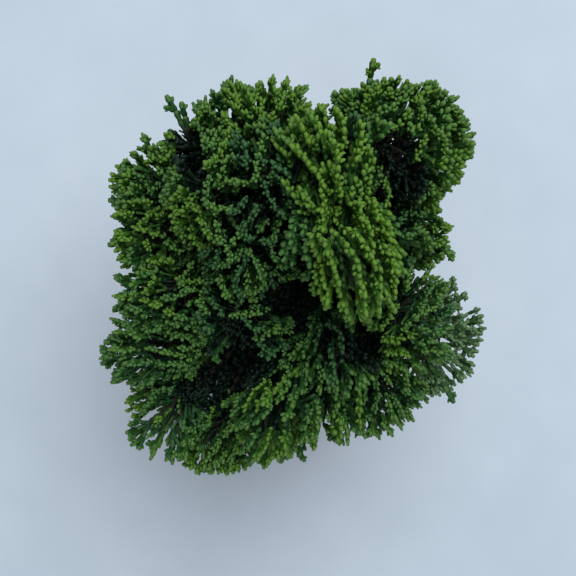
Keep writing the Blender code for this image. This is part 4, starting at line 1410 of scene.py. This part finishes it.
def mottled_material(name, finish, group):
    """A matt material whose colour and relief come from the mottle group."""
    material = plain_material(name, finish.light, finish.roughness)
    tree = material.node_tree
    shader = tree.nodes["Principled BSDF"]
    place = add_node(tree, "TexCoord")
    mapping = add_node(tree, "Mapping", {"Scale": finish.stretch})
    values = {
        "Dark": (*finish.dark, 1), "Light": (*finish.light, 1),
        "Scale": finish.broad, "Fine Scale": finish.fine,
    }
    mottle = add_node(tree, "Group", values, node_tree=group)
    relief = add_node(tree, "Bump", {"Strength": RELIEF_STRENGTH, "Distance": finish.bump})
    link(
        tree,
        (place, "Object", mapping, "Vector"),
        (mapping, "Vector", mottle, "Vector"),
        (mottle, "Color", shader, "Base Color"),
        (mottle, "Height", relief, "Height"),
        (relief, "Normal", shader, "Normal"),
    )
    return material


def add_bloom(clay):
    """Pale patches of lime bloom over the clay's own colour, most of them round the rim."""
    tree = clay.node_tree
    shader = tree.nodes["Principled BSDF"]
    own_colour = shader.inputs["Base Color"].links[0].from_node
    place = add_node(tree, "TexCoord")
    split = add_node(tree, "SeparateXYZ")
    band = add_node(tree, "MapRange", BLOOM_BAND)
    patches = add_node(tree, "TexNoise", BLOOM_PATCHES)
    edges = add_node(tree, "MapRange", BLOOM_EDGES)
    both = add_node(tree, "Math", operation="MULTIPLY")
    mix = add_node(tree, "Mix", {"B": BLOOM_COLOUR}, data_type="RGBA")
    link(
        tree,
        (place, "Object", split, "Vector"),
        (place, "Object", patches, "Vector"),
        (split, "Z", band, "Value"),
        (patches, "Fac", edges, "Value"),
        (band, "Result", both, 0),
        (edges, "Result", both, 1),
        (both, 0, mix, "Factor"),
        (own_colour, "Color", mix, "A"),
        (mix, "Result", shader, "Base Color"),
    )


# Stage


def build_stage(floor_material):
    """A pale floor, soft light from the whole sky and from three lamps, and the camera."""
    bm = bmesh.new()
    bmesh.ops.create_grid(bm, x_segments=1, y_segments=1, size=FLOOR_HALF)
    floor = add_object("floor", mesh_from(bm, "floor", smooth=False))
    floor.data.materials.append(floor_material)
    world = bpy.data.worlds.new("sky")
    world.use_nodes = True
    sky = world.node_tree.nodes["Background"].inputs
    sky["Color"].default_value = SKY_COLOUR
    sky["Strength"].default_value = SKY_STRENGTH
    bpy.context.scene.world = world
    for name, place, size, energy in LAMPS:
        lamp = bpy.data.lights.new(name, "AREA")
        lamp.shape = "DISK"
        lamp.size = size
        lamp.energy = energy
        lamp.color = LAMP_COLOUR
        lamp_object = add_object(name, lamp)
        lamp_object.location = place
        lamp_object.rotation_euler = (place - CROWN_CENTRE).to_track_quat("Z", "Y").to_euler()
    camera = bpy.data.cameras.new("camera")
    camera.sensor_width = SENSOR_WIDTH
    camera.lens = FOCAL_PIXELS * SENSOR_WIDTH / IMAGE_SIZE
    camera.clip_start = CLIP_START
    bpy.context.scene.camera = add_object("camera", camera)
    bpy.context.scene.camera.location = CAMERA_PLACE
    bpy.context.scene.view_settings.view_transform = "Standard"


def main():
    mottle = mottle_group()
    made = {name: mottled_material(name, finish, mottle) for name, finish in FINISHES.items()}
    add_bloom(made["clay"])
    spaces, starts = lay_out_crown()
    build_trunk(made["bark"])
    build_limbs(spaces, starts, made["bark"])
    build_foliage(spaces, starts, leaf_materials(), made["shaded_twig_bark"])
    build_pot(made["clay"])
    build_mix(made["soil"], made["chips"], made["grit"])
    build_stage(made["pale_floor"])


main()
